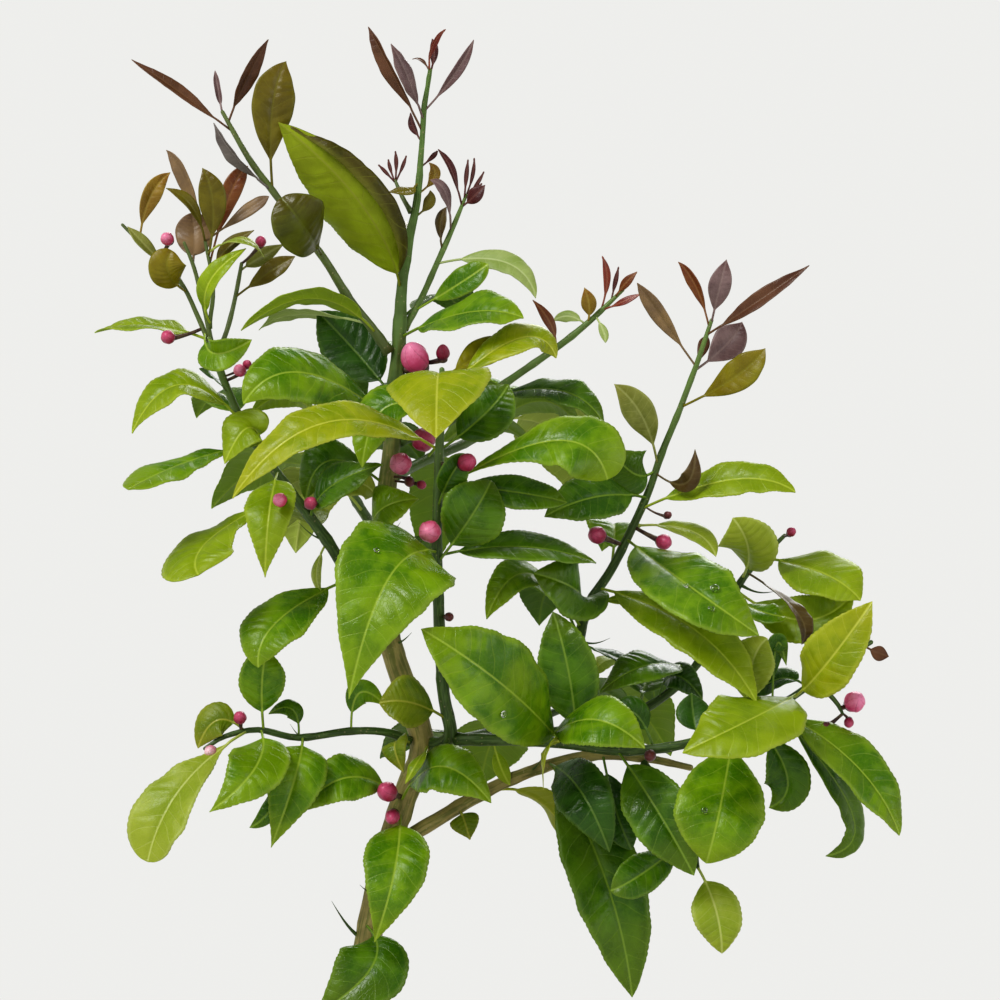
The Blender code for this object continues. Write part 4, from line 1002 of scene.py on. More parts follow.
def make_tube(name, route, sides, relief=0.0, knots=()):
    """A round stem bent along a route: a cylinder cut into rings, then moved onto the route.

    relief is the depth of its bark's ridges in millimetres, and knots are (distance along, height, width).
    """
    rings = len(route) - 1
    piece = new_primitive(
        bpy.ops.mesh.primitive_cylinder_add, name,
        vertices=sides, radius=1.0, depth=1.0, end_fill_type="NGON", location=(0.0, 0.0, 0.5),
    )
    bpy.ops.object.transform_apply(location=True, rotation=False, scale=False)
    mesh = piece.data
    bpy.ops.object.mode_set(mode="EDIT")
    bpy.ops.mesh.select_mode(type="EDGE")
    bpy.ops.mesh.select_all(action="DESELECT")
    bpy.ops.object.mode_set(mode="OBJECT")
    for edge in mesh.edges:
        low, high = (mesh.vertices[index].co.z for index in edge.vertices)
        edge.select = abs(high - low) > 0.5
    bpy.ops.object.mode_set(mode="EDIT")
    if rings > 1:
        bpy.ops.mesh.subdivide(number_cuts=rings - 1)
    bpy.ops.mesh.select_mode(type="VERT")
    bpy.ops.object.mode_set(mode="OBJECT")

    places = get_places(mesh)
    rows = np.clip(np.rint(places[:, 2] * rings), 0, rings).astype(int)
    centres = route[:, :3]
    steps = np.linalg.norm(np.diff(centres, axis=0), axis=1)
    along = np.concatenate([[0.0], np.cumsum(steps)])
    first, second = ring_frames(route)
    radius = route[:, 3].copy()
    thinning = radius / radius.max()
    for place_along, height, width in knots:
        radius += height * thinning * np.exp(-((along - place_along) / width) ** 2)
    ridges = np.zeros(len(places))
    if relief:
        for index, (x, y, _) in enumerate(places):
            where = Vector((x * 2.2, y * 2.2, along[rows[index]] * 0.06))
            ridges[index] = relief * noise.noise(where) + relief * 0.5 * noise.noise(where * 3.1)
    out = radius[rows] + ridges
    moved = centres[rows] + first[rows] * (places[:, [0]] * out[:, None])
    moved += second[rows] * (places[:, [1]] * out[:, None])
    grain = np.stack([places[:, 0] * radius[rows], places[:, 1] * radius[rows], along[rows]], axis=1)
    set_places(mesh, moved * MM)
    set_attribute(mesh, "grain", grain * MM)
    return piece


def trimmed_route(bark, points, spacing):
    """A route that starts at the bark it grows from, sunk a little so that the joint closes."""
    route = smooth_route(points, spacing)
    start = 0
    while start < len(route) - 3 and bark.nearest(route[start, :3])[0] < -STEM_SINK:
        start += 1
    return route[start:]


# The pot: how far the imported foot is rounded, the gap under the soil and the rounding of worn edges
FOOT_ROUNDING = 3.0 * MM
SOIL_CLEARANCE = 0.3 * MM
WORN_EDGE = 2.4 * MM
POT_SIDES = 128


class TREE_OT_pot(bpy.types.Operator):
    """Turn the pot: a flat base, a tapering wall and a raised band round the rim."""

    bl_idname = "lemon_tree.pot"
    bl_label = "Pot"

    def execute(self, context):
        settings = context.scene.lemon_pot
        high = POT_BOX[1]
        rim = high.x
        base = base_radius()
        floor = SOIL_BOX[0].z - SOIL_CLEARANCE
        under_band = high.z - settings.band_height
        outside = rim - settings.band_step
        slope = (outside - base) / high.z
        inside_top = outside - settings.wall
        inside_low = base - settings.wall + (inside_top - base + settings.wall) * floor / high.z
        heights = [under_band * share for share in (0.25, 0.5, 0.75, 1.0)]
        rings = [(base + slope * height, height) for height in heights]
        rings += [(rim, under_band), (rim, high.z), (inside_top, high.z), (inside_low, floor)]
        piece = new_primitive(
            bpy.ops.mesh.primitive_circle_add, "clay_pot",
            vertices=POT_SIDES, radius=base, fill_type="NGON",
        )
        bpy.ops.object.mode_set(mode="EDIT")
        bpy.ops.mesh.select_all(action="SELECT")
        radius, height = base, 0.0
        for next_radius, next_height in rings:
            bpy.ops.mesh.extrude_region_move(
                TRANSFORM_OT_translate={"value": (0.0, 0.0, next_height - height)})
            scale = next_radius / radius
            bpy.ops.transform.resize(value=(scale, scale, 1.0), center_override=(0.0, 0.0, next_height))
            radius, height = next_radius, next_height
        bpy.ops.mesh.select_all(action="SELECT")
        bpy.ops.mesh.normals_make_consistent(inside=False)
        bpy.ops.object.mode_set(mode="OBJECT")
        bevel = piece.modifiers.new("Worn edges", "BEVEL")
        bevel.width = WORN_EDGE
        bevel.segments = 4
        bevel.limit_method = "ANGLE"
        bevel.angle_limit = math.radians(30.0)
        apply_modifiers(piece)
        # Thrown clay is never quite round: the wall wanders by a few tenths of a millimetre
        places = get_places(piece.data)
        for place in places:
            drift = noise.noise(Vector(place) * 14.0) * 0.5 * MM
            length = math.hypot(place[0], place[1])
            if length > 30.0 * MM and 2.0 * MM < place[2]:
                place[:2] *= 1.0 + min(drift, 0.0) / length
        set_places(piece.data, places)
        finish_piece(piece, terracotta(settings), "pot")
        only(piece)
        bpy.ops.object.shade_smooth_by_angle(angle=math.radians(40.0))
        return {"FINISHED"}


def base_radius():
    """Radius of the pot's base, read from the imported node."""
    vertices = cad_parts["pot"].data.vertices
    return max(math.hypot(v.co.x, v.co.y) for v in vertices if v.co.z < 0.1 * MM) + FOOT_ROUNDING


# The soil: how much narrower it is at its foot, the rings of its top, and the relief of its surface
SOIL_TAPER = 24.0 * MM
SOIL_EDGE_DROP = 3.0 * MM
SOIL_RINGS = 30
SOIL_RING_STEP = 2.9 * MM
SOIL_HOLLOW = 4.2 * MM
SOIL_MOUND = 2.4 * MM
SOIL_LUMPS = 1.4 * MM
SOIL_CRUMBS = 0.8 * MM
# The scattered pieces keep this far from the pot's wall and from the middle of the trunk
WALL_MARGIN = 7.0 * MM
TRUNK_MARGIN = 11.0 * MM
TRUNK_X = STEMS["trunk"][1][0][0] * MM


class TREE_OT_soil(bpy.types.Operator):
    """Fill the pot with potting mix, and scatter bark chips and perlite over it."""

    bl_idname = "lemon_tree.soil"
    bl_label = "Soil"

    def execute(self, context):
        settings = context.scene.lemon_pot
        low, high = SOIL_BOX
        top = high.z - SOIL_EDGE_DROP
        top_radius = high.x
        low_radius = top_radius - SOIL_TAPER
        piece = new_primitive(
            bpy.ops.mesh.primitive_circle_add, "potting_mix",
            vertices=112, radius=low_radius, fill_type="NGON", location=(0.0, 0.0, low.z),
        )
        bpy.ops.object.mode_set(mode="EDIT")
        bpy.ops.mesh.select_all(action="SELECT")
        bpy.ops.mesh.extrude_region_move(TRANSFORM_OT_translate={"value": (0.0, 0.0, top - low.z)})
        scale = top_radius / low_radius
        bpy.ops.transform.resize(value=(scale, scale, 1.0), center_override=(0.0, 0.0, top))
        for _ in range(SOIL_RINGS):
            bpy.ops.mesh.inset(thickness=SOIL_RING_STEP, depth=0.0)
        bpy.ops.mesh.select_all(action="SELECT")
        bpy.ops.mesh.normals_make_consistent(inside=False)
        bpy.ops.object.mode_set(mode="OBJECT")
        bpy.ops.object.transform_apply(location=True, rotation=False, scale=False)
        places = get_places(piece.data)
        for place in places:
            if place[2] > top - 1.0 * MM:
                place[2] = soil_height(place[0], place[1])
        set_places(piece.data, places)
        finish_piece(piece, potting_mix(settings), "soil")

        chances = random.Random(11)
        kinds = (
            ("bark_chips", 230, (2.2, 5.5), bark_chip("pine_bark_chip", "4A3020", "7A5738")),
            ("perlite", 46, (1.2, 2.4), bark_chip("perlite", "D8D4CB", "F0EEE8")),
        )
        for name, count, sizes, material in kinds:
            self.scatter(name, count, sizes, material, chances, top_radius)
        return {"FINISHED"}

    def scatter(self, name, count, sizes, material, chances, reach):
        """Model one crumb, copy it over the soil at chance sizes and turns, and join the copies."""
        crumb = new_primitive(bpy.ops.mesh.primitive_ico_sphere_add, name, subdivisions=1, radius=1.0)
        shape = get_places(crumb.data)
        faces = [tuple(face.vertices) for face in crumb.data.polygons]
        all_places, all_faces = [], []
        for index in range(count):
            size = chances.uniform(*sizes) * 0.5 * MM
            stretch = [chances.uniform(*span) for span in ((0.7, 1.6), (0.6, 1.0), (0.35, 0.7))]
            turn = chances.uniform(0.0, math.tau)
            distance = (reach - WALL_MARGIN) * math.sqrt(chances.random())
            bearing = chances.uniform(0.0, math.tau)
            x, y = distance * math.cos(bearing), distance * math.sin(bearing)
            if math.hypot(x - TRUNK_X, y) < TRUNK_MARGIN:
                continue
            local = shape * stretch * size
            local = local * (1.0 + 0.25 * np.sin(shape[:, [1]] * 7.0 + index))
            turned = np.stack([
                local[:, 0] * math.cos(turn) - local[:, 1] * math.sin(turn),
                local[:, 0] * math.sin(turn) + local[:, 1] * math.cos(turn),
                local[:, 2],
            ], axis=1)
            first = len(all_places) * len(shape)
            all_places.append(turned + (x, y, soil_height(x, y) + 0.15 * size))
            all_faces += [tuple(corner + first for corner in face) for face in faces]
        crumb.data.clear_geometry()
        crumb.data.from_pydata(np.concatenate(all_places).tolist(), [], all_faces)
        finish_piece(crumb, material, smooth=False)


def soil_height(x, y):
    """Height of the soil's lumpy surface, a little mounded round the trunk."""
    top = SOIL_BOX[1].z - SOIL_HOLLOW
    distance = math.hypot(x, y) / SOIL_BOX[1].x
    mound = SOIL_MOUND * (1.0 - distance * distance)
    lumps = noise.noise(Vector((x, y, 0.0)) * 55.0) * SOIL_LUMPS
    crumbs = noise.noise(Vector((x, y, 0.3)) * 240.0) * SOIL_CRUMBS
    edge = 1.0 if distance < 0.985 else 0.0
    return top + mound + (lumps + crumbs) * edge


class TREE_OT_wood(bpy.types.Operator):
    """Grow the trunk, its branches and its thorns."""

    bl_idname = "lemon_tree.wood"
    bl_label = "Wood"

    def execute(self, context):
        settings = context.scene.lemon_wood
        finishes = {
            "bark": stem_material(
                "citrus_bark", settings.bark, settings.stripe, "5C7A34", 1.5, 0.85, 0.55),
            "green_wood": stem_material(
                "green_citrus_wood", settings.stem, "5F7A38", "668238", 0.9, 0.6, 0.42),
            "young_wood": stem_material(
                "young_citrus_wood", settings.shoot, "4C5A26", "5E6E34", 0.8, 0.6, 0.40),
        }
        routes = all_routes()
        for (name, (finish, _)), route in zip(STEMS.items(), routes):
            thick = route[:, 3].max()
            sides = 32 if thick > 4.0 else 20
            relief = 0.10 * thick if finish == "bark" else 0.05 * thick
            piece = make_tube("wood_" + name, rounded_end(route), sides, relief, self.knots(name, route))
            finish_piece(piece, finishes[finish], name)
        bark = Bark(routes)
        for name, (root, tip, radius) in THORNS.items():
            self.thorn(name, root, tip, radius, bark, finishes["green_wood"])
        return {"FINISHED"}

    def knots(self, name, route):
        """Swellings where leaves grew, about every 22 mm, and a collar where the stem leaves its parent."""
        chances = random.Random(name)
        length = float(np.linalg.norm(np.diff(route[:, :3], axis=0), axis=1).sum())
        thick = float(route[:, 3].max())
        knots = [TRUNK_SWELLING if name == "trunk" else (0.0, COLLAR_SHARE * thick, COLLAR_WIDTH)]
        along = chances.uniform(8.0, 20.0)
        while along < length - 8.0:
            knots.append((along, chances.uniform(0.07, 0.16) * thick, chances.uniform(1.8, 3.2)))
            along += chances.uniform(14.0, 30.0)
        return knots

    def thorn(self, name, root, tip, radius, bark, material):
        """A slender green spine with a sharp end."""
        root, tip = np.array(root, float), np.array(tip, float)
        _, middle = bark.nearest(root)
        rows = []
        steps = 9
        for step in range(steps + 1):
            t = step / steps
            sag = 0.11 * np.linalg.norm(tip - middle) * math.sin(math.pi * t)
            centre = middle + (tip - middle) * t - np.array([0.0, 0.0, sag])
            rows.append((*centre, max(0.07, radius * (1.0 - t) ** 0.8 + 0.5 * radius * (1.0 - t) ** 8)))
        piece = make_tube(name, np.array(rows), 10)
        finish_piece(piece, material)


def rounded_end(route):
    """A route whose last stretch closes to a round tip."""
    last = route[-1]
    direction = unit(route[-1, :3] - route[-2, :3])
    rows = list(route)
    for share in (0.35, 0.65, 0.9, 1.0):
        centre = last[:3] + direction * last[3] * share
        rows.append(np.array([*centre, last[3] * math.sqrt(max(0.03, 1.0 - share * share))]))
    return np.array(rows)


def all_routes():
    """The route of every stem, each from the bark of those before it."""
    spacing = bpy.context.scene.lemon_wood.ring_spacing / MM
    grown = []
    for _, points in STEMS.values():
        if grown:
            grown.append(trimmed_route(Bark(grown), points, spacing))
        else:
            grown.append(smooth_route(points, spacing))
    return grown


class Midrib:
    """The parabola of a leaf's midrib, and the way its blade faces along it."""

    def __init__(self, name, bark):
        row = LEAVES[name]
        look, base, middle, tip, self.width, faces = row[:6]
        self.young = look in YOUNG_LOOKS
        outline = "spindle" if self.young else "oval"
        for unusual, names in UNUSUAL_OUTLINES.items():
            if name in names:
                outline = unusual
        self.outline = OUTLINES[outline]
        self.fold = row[6] if len(row) > 6 else USUAL_FOLD
        self.curl = row[7] if len(row) > 7 else USUAL_CURL
        self.base, self.tip = np.array(base, float), np.array(tip, float)
        gap, stem_middle = bark.nearest(self.base)
        if gap > -LEAF_SINK:
            self.base = stem_middle
        self.pull = 2.0 * np.array(middle, float) - (self.base + self.tip) / 2.0
        self.faces = np.array(faces, float)
        self.start = self.first_clear(bark)
        steps = np.linspace(self.start, 1.0, 60)
        self.length = float(np.linalg.norm(np.diff(self.place(steps), axis=0), axis=1).sum())

    def place(self, t):
        """Points of the midrib."""
        t = np.atleast_1d(t)[:, None]
        return self.base * (1 - t) ** 2 + self.pull * 2 * t * (1 - t) + self.tip * t * t

    def frame(self, t):
        """Directions along, sideways and up from the blade."""
        t = np.atleast_1d(t)[:, None]
        along = unit((self.pull - self.base) * (1 - t) + (self.tip - self.pull) * t)
        up = unit(self.faces - along * (along @ self.faces)[:, None])
        return along, np.cross(along, up), up

    def first_clear(self, bark):
        """How far along its parabola the leaf leaves the bark."""
        steps = 60
        for step in range(steps // 3, -1, -1):
            if bark.nearest(self.place(step / steps)[0])[0] < -CLEAR_SINK:
                return step / steps
        return 0.0


def width_along(share, outline):
    """Width of the blade from its base to its tip, as a share of its greatest width."""
    rise, fall = outline
    peak = rise / (rise + fall)
    greatest = peak ** rise * (1 - peak) ** fall
    share = np.clip(share, 0.0, 1.0)
    return share ** rise * (1 - share) ** fall / greatest


def leaf_blank(name, columns, rows):
    """A flat leaf blank: a grid with a thickness, to be shaped into each leaf."""
    blank = new_primitive(
        bpy.ops.mesh.primitive_grid_add, name, x_subdivisions=columns, y_subdivisions=rows, size=2.0,
    )
    thicken = blank.modifiers.new("Thickness", "SOLIDIFY")
    thicken.thickness = 0.1
    thicken.offset = -1.0
    apply_modifiers(blank)
    return blank


def blade_rows(midrib, rows, stalk_length):
    """For each height on the blank, its place on the parabola and its share of the blade."""
    stalk = min(stalk_length / midrib.length, STALK_MOST) * (1.0 - midrib.start)
    stalk_end = midrib.start + stalk
    share = np.clip((rows - STALK_ROWS) / (1.0 - STALK_ROWS), 0.0, 1.0)
    on_stalk = midrib.start + stalk * rows / STALK_ROWS
    on_blade = stalk_end + (1.0 - stalk_end) * share
    return np.where(rows < STALK_ROWS, on_stalk, on_blade), share


def across_blade(distance, half_width, fold, curl):
    """Sideways and upward place of points at a distance from the midrib, and the slope there, for a fold
    and a curl in degrees. Places are sums of the slope's cosine and sine on the way out from the midrib.
    """
    distance, half_width, fold, curl = np.broadcast_arrays(distance, half_width, fold, curl)
    nodes, weights = np.polynomial.legendre.leggauss(16)
    nodes, weights = np.append((nodes + 1.0) / 2.0, 1.0), np.append(weights / 2.0, 0.0)
    share = (distance / half_width)[..., None] * nodes
    crease = np.clip((share - FOLD_LINE) / FOLD_WIDTH, 0.0, 1.0)
    folded = crease * crease * (3.0 - 2.0 * crease)
    turned = np.where(np.abs(curl)[..., None] > FOLDS_OVER, folded, share)
    angle = np.radians(fold[..., None] + curl[..., None] * turned)
    return distance * (np.cos(angle) @ weights), distance * (np.sin(angle) @ weights), angle[..., -1]


def shape_leaf(name, blank, midrib, settings):
    """A copy of the blank bent into one leaf: stalk, blade, midrib, puckers, teeth and waves."""
    chances = random.Random(name)
    piece = copy_of(blank, name)
    mesh = piece.data
    flat = get_places(mesh)
    x, upper = flat[:, 0], flat[:, 2] > -0.05
    sign = np.where(x < 0.0, -1.0, 1.0)
    edge = np.abs(x) ** 1.12
    t, share = blade_rows(midrib, (flat[:, 1] + 1.0) / 2.0, settings.stalk / MM)
    size = min(1.0, midrib.width / FULL_WIDTH)
    blade_length = midrib.length * (1.0 - STALK_MOST / 2.0)
    along = share * blade_length
    # Nothing stands out of line right at the stalk or the tip
    ends = np.minimum(1.0, 7.0 * share * (1.0 - share))

    # Outline: rounded teeth, a slightly unequal half on each side, and a margin that wanders
    tooth_turns = along / (TOOTH_LENGTH * max(size, 0.4)) + chances.random()
    tooth_turns += np.where(x < 0.0, 0.4, 0.0)
    teeth = 0.0 if midrib.young else settings.tooth / MM * size ** 2
    teeth = teeth * np.abs(np.sin(np.pi * tooth_turns)) ** 0.7
    wander = 0.018 * np.sin(along * 0.19 + chances.uniform(0, 6)) * sign
    wander += 0.012 * np.sin(along * 0.43 + chances.uniform(0, 6) + sign)
    full = width_along(share, midrib.outline)
    blade_half = midrib.width / 2.0 * full * (1.0 + wander) + teeth * ends * edge ** 8
    # The blade is nowhere narrower than the stalk, except over its last part, which closes to the tip
    closing = np.where(share > 0.97, 0.2 + 26.0 * (1.0 - share), 1.0)
    stalk_half = (0.45 + 0.25 * size) * closing
    half_width = np.maximum(stalk_half, blade_half)
    # The round stalk becomes the flat blade over the first twentieth of the blade
    stalkness = np.clip(1.0 - 20.0 * share, 0.0, 1.0) ** 2
    distance = edge * half_width

    # Side veins: not quite evenly spaced, and curving towards the tip
    spacing = settings.vein_spacing / MM * max(0.35, min(1.25, blade_length / 64.0))
    uneven = 0.16 * np.sin(along * 0.31 + chances.uniform(0, 6) + 2.0 * sign)
    phase = (along - VEIN_LEAN * distance - VEIN_BEND * distance ** 2) / spacing + uneven
    phase += np.where(x < 0.0, 0.42, 0.0)

    # Relief: hollow midrib, puckers between veins, a wavy margin and broad uneven swellings
    deep = 0.7 + 0.5 * np.sin(along * 0.11 + chances.uniform(0, 6))
    swell = (0.5 - 0.5 * np.cos(2.0 * np.pi * phase)) * np.sin(np.pi * np.clip(edge, 0.0, 1.0)) ** 0.7
    top = settings.puckering / MM * size * deep * swell * ends
    top -= MIDRIB_HOLLOW * size * np.exp(-(distance / 1.3) ** 2) * (1.0 - stalkness)
    ruffle = chances.uniform(0.3, 1.0) * size ** 2
    for length, part in ((30.0, 1.0), (17.0, 0.25)):
        turns = along / (length * max(size, 0.3)) + sign * chances.uniform(0.1, 0.3) + chances.random()
        top += part * ruffle * edge ** 2 * np.sin(2.0 * np.pi * turns) * ends
    for length in (34.0, 21.0, 14.0):
        bearing = chances.uniform(0.0, math.pi)
        spread = distance * sign * math.cos(bearing) + along * math.sin(bearing)
        turns = 2.0 * np.pi * spread / (length * max(size, 0.4)) + chances.uniform(0, 6)
        top += 0.013 * length * size * edge * np.sin(turns) * ends

    thick = settings.thickness / MM * (0.6 + 0.4 * size)
    rib = MIDRIB_RIB * size * np.exp(-(distance / 0.8) ** 2) * (1.0 - 0.7 * share)
    roundness = np.sqrt(np.clip(1.0 - edge ** 2, 0.0, 1.0)) * stalk_half
    height = np.where(upper, top, top - thick - rib)
    stalk_height = np.where(upper, roundness, -roundness - 0.05)
    height = height * (1.0 - stalkness) + stalk_height * stalkness

    curls = np.where(x < 0.0, midrib.curl[0], midrib.curl[1])
    folds_over = np.abs(curls) > FOLDS_OVER
    curls = curls * np.where(folds_over, 1.0, np.sqrt(full))
    side, rise, slope = across_blade(distance, half_width, midrib.fold * full, curls)
    # Relief stands square to a folded margin; on an open blade it stands square to the midrib
    slope = np.where(folds_over, slope, 0.0)
    side = side - height * np.sin(slope)
    rise = rise + height * np.cos(slope)
    _, sideways, up = midrib.frame(t)
    places = midrib.place(t) + sideways * (sign * side)[:, None] + up * rise[:, None]
    set_places(mesh, places * MM)
    set_attribute(mesh, "blade", np.stack([distance * sign, phase, 1.0 - upper.astype(float)], axis=1))
    set_attribute(mesh, "reach", np.stack([share, edge, np.zeros_like(edge)], axis=1))
    return piece


class TREE_OT_leaves(bpy.types.Operator):
    """Shape each leaf from a flat blank and hang it on its stem."""

    bl_idname = "lemon_tree.leaves"
    bl_label = "Leaves"

    def execute(self, context):
        settings = context.scene.lemon_foliage
        bark = Bark(all_routes())
        blanks = {
            "broad": leaf_blank("broad_blank", 20, 124),
            "narrow": leaf_blank("narrow_blank", 14, 64),
            "tiny": leaf_blank("tiny_blank", 8, 24),
        }
        materials = {look: citrus_leaf(look) for look in LEAF_LOOKS}
        for name, row in LEAVES.items():
            midrib = Midrib(name, bark)
            blank = "broad" if midrib.width > 18 else "narrow" if midrib.width > 8 else "tiny"
            piece = shape_leaf("citrus_" + name, blanks[blank], midrib, settings)
            finish_piece(piece, materials[row[0]], "leaf_" + name)
        for blank in blanks.values():
            bpy.data.objects.remove(blank, do_unlink=True)
        return {"FINISHED"}


def turned_to(direction):
    """Rows of a frame whose third axis points along a direction."""
    up = unit(np.array(direction, float))
    side = unit(np.cross((0.0, 0.0, 1.0) if abs(up[2]) < 0.9 else (1.0, 0.0, 0.0), up))
    return np.array([side, np.cross(up, side), up])


class TREE_OT_buds(bpy.types.Operator):
    """Add the flower buds, each with its calyx and stalk."""

    bl_idname = "lemon_tree.buds"
    bl_label = "Flower buds"

    def execute(self, context):
        settings = context.scene.lemon_buds
        bark = Bark(all_routes())
        bud = new_primitive(
            bpy.ops.mesh.primitive_uv_sphere_add, "bud_blank", segments=60, ring_count=24, radius=1.0)
        cup = new_primitive(
            bpy.ops.mesh.primitive_uv_sphere_add, "calyx_blank", segments=30, ring_count=14, radius=1.0)
        bud_shape, petals = self.petals(get_places(bud.data), settings.length_ratio)
        cup_shape = self.calyx(get_places(cup.data))
        materials = {look: flower_bud(look) for look in BUD_LOOKS}
        green = bud_green(settings)
        for name, (middle, size, direction, look) in BUDS.items():
            turn = turned_to(direction)
            radius = size / 2.0
            middle = np.array(middle, float)
            flower = copy_of(bud, name)
            set_places(flower.data, (bud_shape * radius @ turn + middle) * MM)
            set_attribute(flower.data, "petal", petals)
            finish_piece(flower, materials[look])
            seat = middle - turn[2] * radius * (settings.length_ratio - CALYX_DEPTH)
            calyx = copy_of(cup, name + "_calyx")
            set_places(calyx.data, (cup_shape * radius @ turn + seat) * MM)
            finish_piece(calyx, green)
            self.stalk(name, seat, turn[2], radius, bark, green)
        bpy.data.objects.remove(bud, do_unlink=True)
        bpy.data.objects.remove(cup, do_unlink=True)
        return {"FINISHED"}

    def petals(self, ball, length_ratio):
        """A closed bud: an egg of five petals that overlap in a slight spiral."""
        angle = np.arctan2(ball[:, 1], ball[:, 0])
        height = (ball[:, 2] + 1.0) / 2.0
        turn = (angle / math.tau * 5.0 + 0.7 * height) % 1.0
        lap = np.clip(turn / 0.12, 0.0, 1.0) * (1.0 - turn)
        swell = 1.0 + 0.085 * (lap - 0.45) * np.sin(np.pi * height)
        taper = 1.0 - 0.26 * np.clip(height - 0.45, 0.0, 1.0)
        shape = ball.copy()
        shape[:, 0] *= swell * taper
        shape[:, 1] *= swell * taper
        shape[:, 2] *= length_ratio
        return shape, np.stack([height, turn, np.zeros_like(turn)], axis=1)

    def calyx(self, ball):
        """A small cup with five blunt lobes."""
        angle = np.arctan2(ball[:, 1], ball[:, 0])
        shape = ball * (0.74, 0.74, 0.50)
        lobes = 0.14 * np.cos(5.0 * angle) * np.clip(ball[:, 2] + 0.2, 0.0, 1.0)
        shape[:, 2] += lobes * np.hypot(ball[:, 0], ball[:, 1])
        return shape

    def stalk(self, name, seat, direction, radius, bark, material):
        """A short stalk, thickest under the calyx, that curves out of the bark."""
        _, middle = bark.nearest(seat)
        reach = float(np.linalg.norm(seat - middle))
        pull = (seat + middle) / 2.0 - direction * reach * 0.22
        rows = []
        steps = 8
        for step in range(steps + 1):
            t = step / steps
            centre = middle * (1 - t) ** 2 + pull * 2 * t * (1 - t) + seat * t * t
            rows.append((*centre, radius * (0.24 + 0.22 * t ** 3)))
        piece = make_tube(name + "_stalk", np.array(rows), 12)
        finish_piece(piece, material)


class TREE_OT_drops(bpy.types.Operator):
    """Set a few water drops on the glossy leaves."""

    bl_idname = "lemon_tree.drops"
    bl_label = "Water drops"

    def execute(self, context):
        bark = Bark(all_routes())
        ball = new_primitive(
            bpy.ops.mesh.primitive_uv_sphere_add, "drop_blank", segments=24, ring_count=12, radius=1.0)
        shape = get_places(ball.data) * (1.0, 1.0, 0.55)
        material = water()
        for name, (leaf, t, across, size) in DROPS.items():
            midrib = Midrib(leaf, bark)
            half_width = midrib.width / 2.0 * float(width_along(t, midrib.outline))
            curl = midrib.curl[0] if across < 0.0 else midrib.curl[1]
            side, rise, _ = across_blade(abs(across) * half_width, half_width, midrib.fold, curl)
            _, sideways, up = midrib.frame(t)
            middle = midrib.place(t)[0] + sideways[0] * math.copysign(side, across)
            middle += up[0] * (rise + DROP_LIFT)
            drop = copy_of(ball, name)
            set_places(drop.data, (shape * size / 2.0 @ turned_to(up[0]) + middle) * MM)
            finish_piece(drop, material)
        bpy.data.objects.remove(ball, do_unlink=True)
        return {"FINISHED"}


# The stage: the floor's radius, and the place and power of each soft light, with their common size
FLOOR_RADIUS = 2.4
LIGHT_SIZE = 1.2
LIGHTS = {
    "key_light": ((-1.3, -1.5, 2.6), 52.0),
    "side_light": ((2.2, -1.3, 1.2), 8.0),
    "back_light": ((0.6, 2.2, 2.0), 22.0),
}
# A long lens on a full-size sensor, in millimetres
LENS = 180.0
SENSOR = 36.0


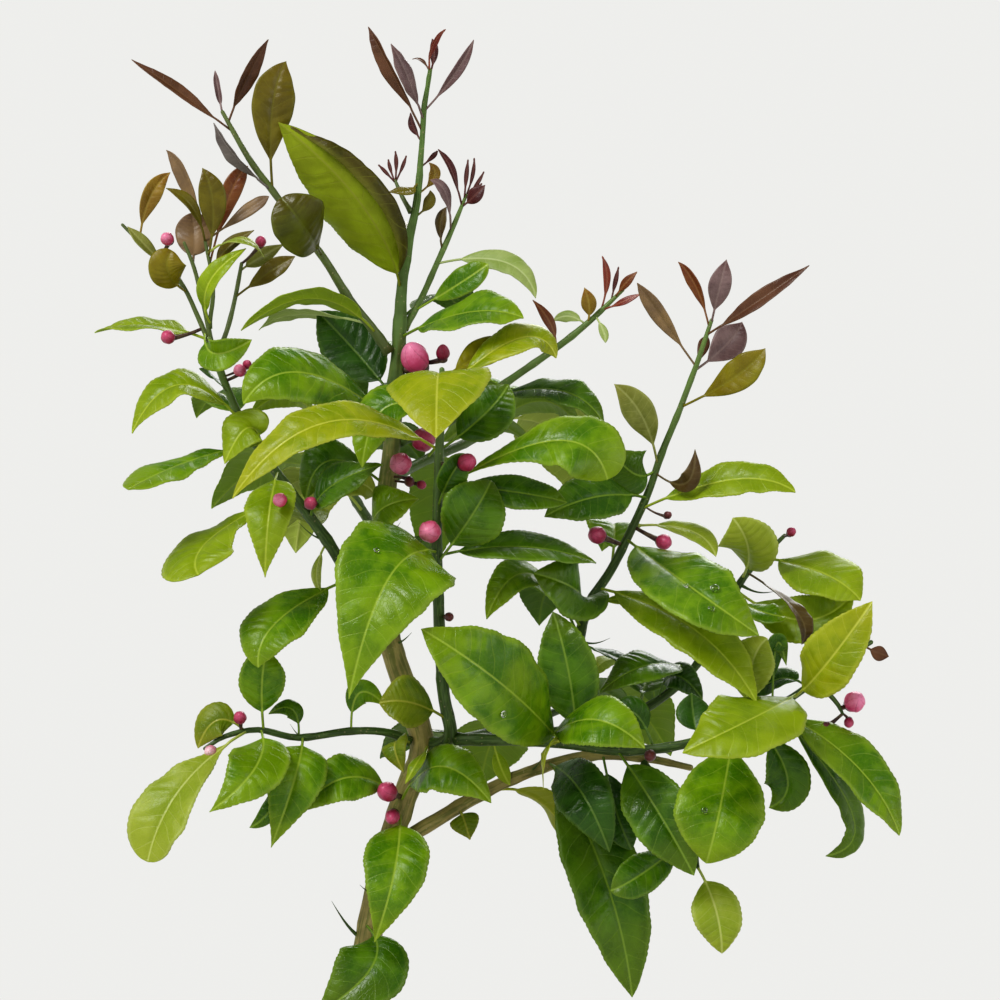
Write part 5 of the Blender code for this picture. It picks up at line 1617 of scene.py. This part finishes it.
class TREE_OT_stage(bpy.types.Operator):
    """Lay the floor, hang the soft lights and set up the camera."""

    bl_idname = "lemon_tree.stage"
    bl_label = "Stage"

    def execute(self, context):
        settings = context.scene.lemon_stage
        floor = new_primitive(
            bpy.ops.mesh.primitive_circle_add, "floor",
            vertices=128, radius=FLOOR_RADIUS, fill_type="NGON",
        )
        material, _, shader, _ = start_material("pale_floor")
        shader.inputs["Base Color"].default_value = linear(settings.backdrop)
        shader.inputs["Roughness"].default_value = 0.7
        floor.data.materials.append(material)

        world = bpy.data.worlds.new("pale_air")
        world.use_nodes = True
        air = world.node_tree.nodes["Background"]
        air.inputs["Color"].default_value = linear(settings.backdrop)
        # Pale all round at eye level, and dimmer overhead so that the soft lights model the leaves
        direction = add_node(world.node_tree, "ShaderNodeTexCoord").outputs["Generated"]
        height = add_node(world.node_tree, "ShaderNodeSeparateXYZ", {0: direction}).outputs[2]
        glow = ramp_between(world.node_tree, height, 0.16, 0.50, 1.0, 0.42)
        world.node_tree.links.new(glow, air.inputs["Strength"])
        context.scene.world = world
        context.scene.view_settings.view_transform = "Standard"
        context.scene.view_settings.look = "Medium High Contrast"

        aim = Vector((settings.eye_side, 0.0, settings.eye_height))
        for name, (place, power) in LIGHTS.items():
            self.soft_light(name, place, aim, power)

        data = bpy.data.cameras.new("front_camera")
        data.lens = LENS
        data.sensor_width = SENSOR
        data.clip_start = 0.05
        data.clip_end = 50.0
        camera = bpy.data.objects.new("front_camera", data)
        context.scene.collection.objects.link(camera)
        camera.location = (settings.eye_side, -settings.distance, settings.eye_height)
        camera.rotation_euler = (math.radians(90.0), 0.0, 0.0)
        context.scene.camera = camera
        return {"FINISHED"}

    def soft_light(self, name, place, aim, power):
        """A square soft light that faces the tree and stays out of sight."""
        data = bpy.data.lights.new(name, "AREA")
        data.size = LIGHT_SIZE
        data.energy = power
        light = bpy.data.objects.new(name, data)
        bpy.context.scene.collection.objects.link(light)
        light.location = place
        light.rotation_euler = (aim - light.location).to_track_quat("-Z", "Y").to_euler()
        light.visible_camera = False


OPERATORS = (
    TREE_OT_pot,
    TREE_OT_soil,
    TREE_OT_wood,
    TREE_OT_leaves,
    TREE_OT_buds,
    TREE_OT_drops,
    TREE_OT_stage,
)


class TREE_PT_panel(bpy.types.Panel):
    """The tree's settings and its pieces, in the order in which they are made."""

    bl_label = "Potted Lemon Tree"
    bl_idname = "TREE_PT_panel"
    bl_space_type = "VIEW_3D"
    bl_region_type = "UI"
    bl_category = "Lemon Tree"

    def draw(self, context):
        for group in GROUPS:
            box = self.layout.box()
            settings = getattr(context.scene, group)
            for name in settings.__annotations__:
                box.prop(settings, name)
        for operator in OPERATORS:
            self.layout.operator(operator.bl_idname)


GROUPS = {
    "lemon_pot": PotSettings,
    "lemon_wood": WoodSettings,
    "lemon_foliage": FoliageSettings,
    "lemon_buds": BudSettings,
    "lemon_stage": StageSettings,
}


def register():
    """Register the settings, operators and panel."""
    for name, group in GROUPS.items():
        bpy.utils.register_class(group)
        setattr(bpy.types.Scene, name, bpy.props.PointerProperty(type=group))
    for operator in OPERATORS:
        bpy.utils.register_class(operator)
    bpy.utils.register_class(TREE_PT_panel)


def unregister():
    """Remove the panel, operators and settings."""
    bpy.utils.unregister_class(TREE_PT_panel)
    for operator in reversed(OPERATORS):
        bpy.utils.unregister_class(operator)
    for name, group in GROUPS.items():
        delattr(bpy.types.Scene, name)
        bpy.utils.unregister_class(group)


def main():
    """Build the tree and its stage."""
    register()
    bpy.ops.lemon_tree.pot()
    bpy.ops.lemon_tree.soil()
    bpy.ops.lemon_tree.wood()
    bpy.ops.lemon_tree.leaves()
    bpy.ops.lemon_tree.buds()
    bpy.ops.lemon_tree.drops()
    bpy.ops.lemon_tree.stage()


if __name__ == "__main__":
    main()
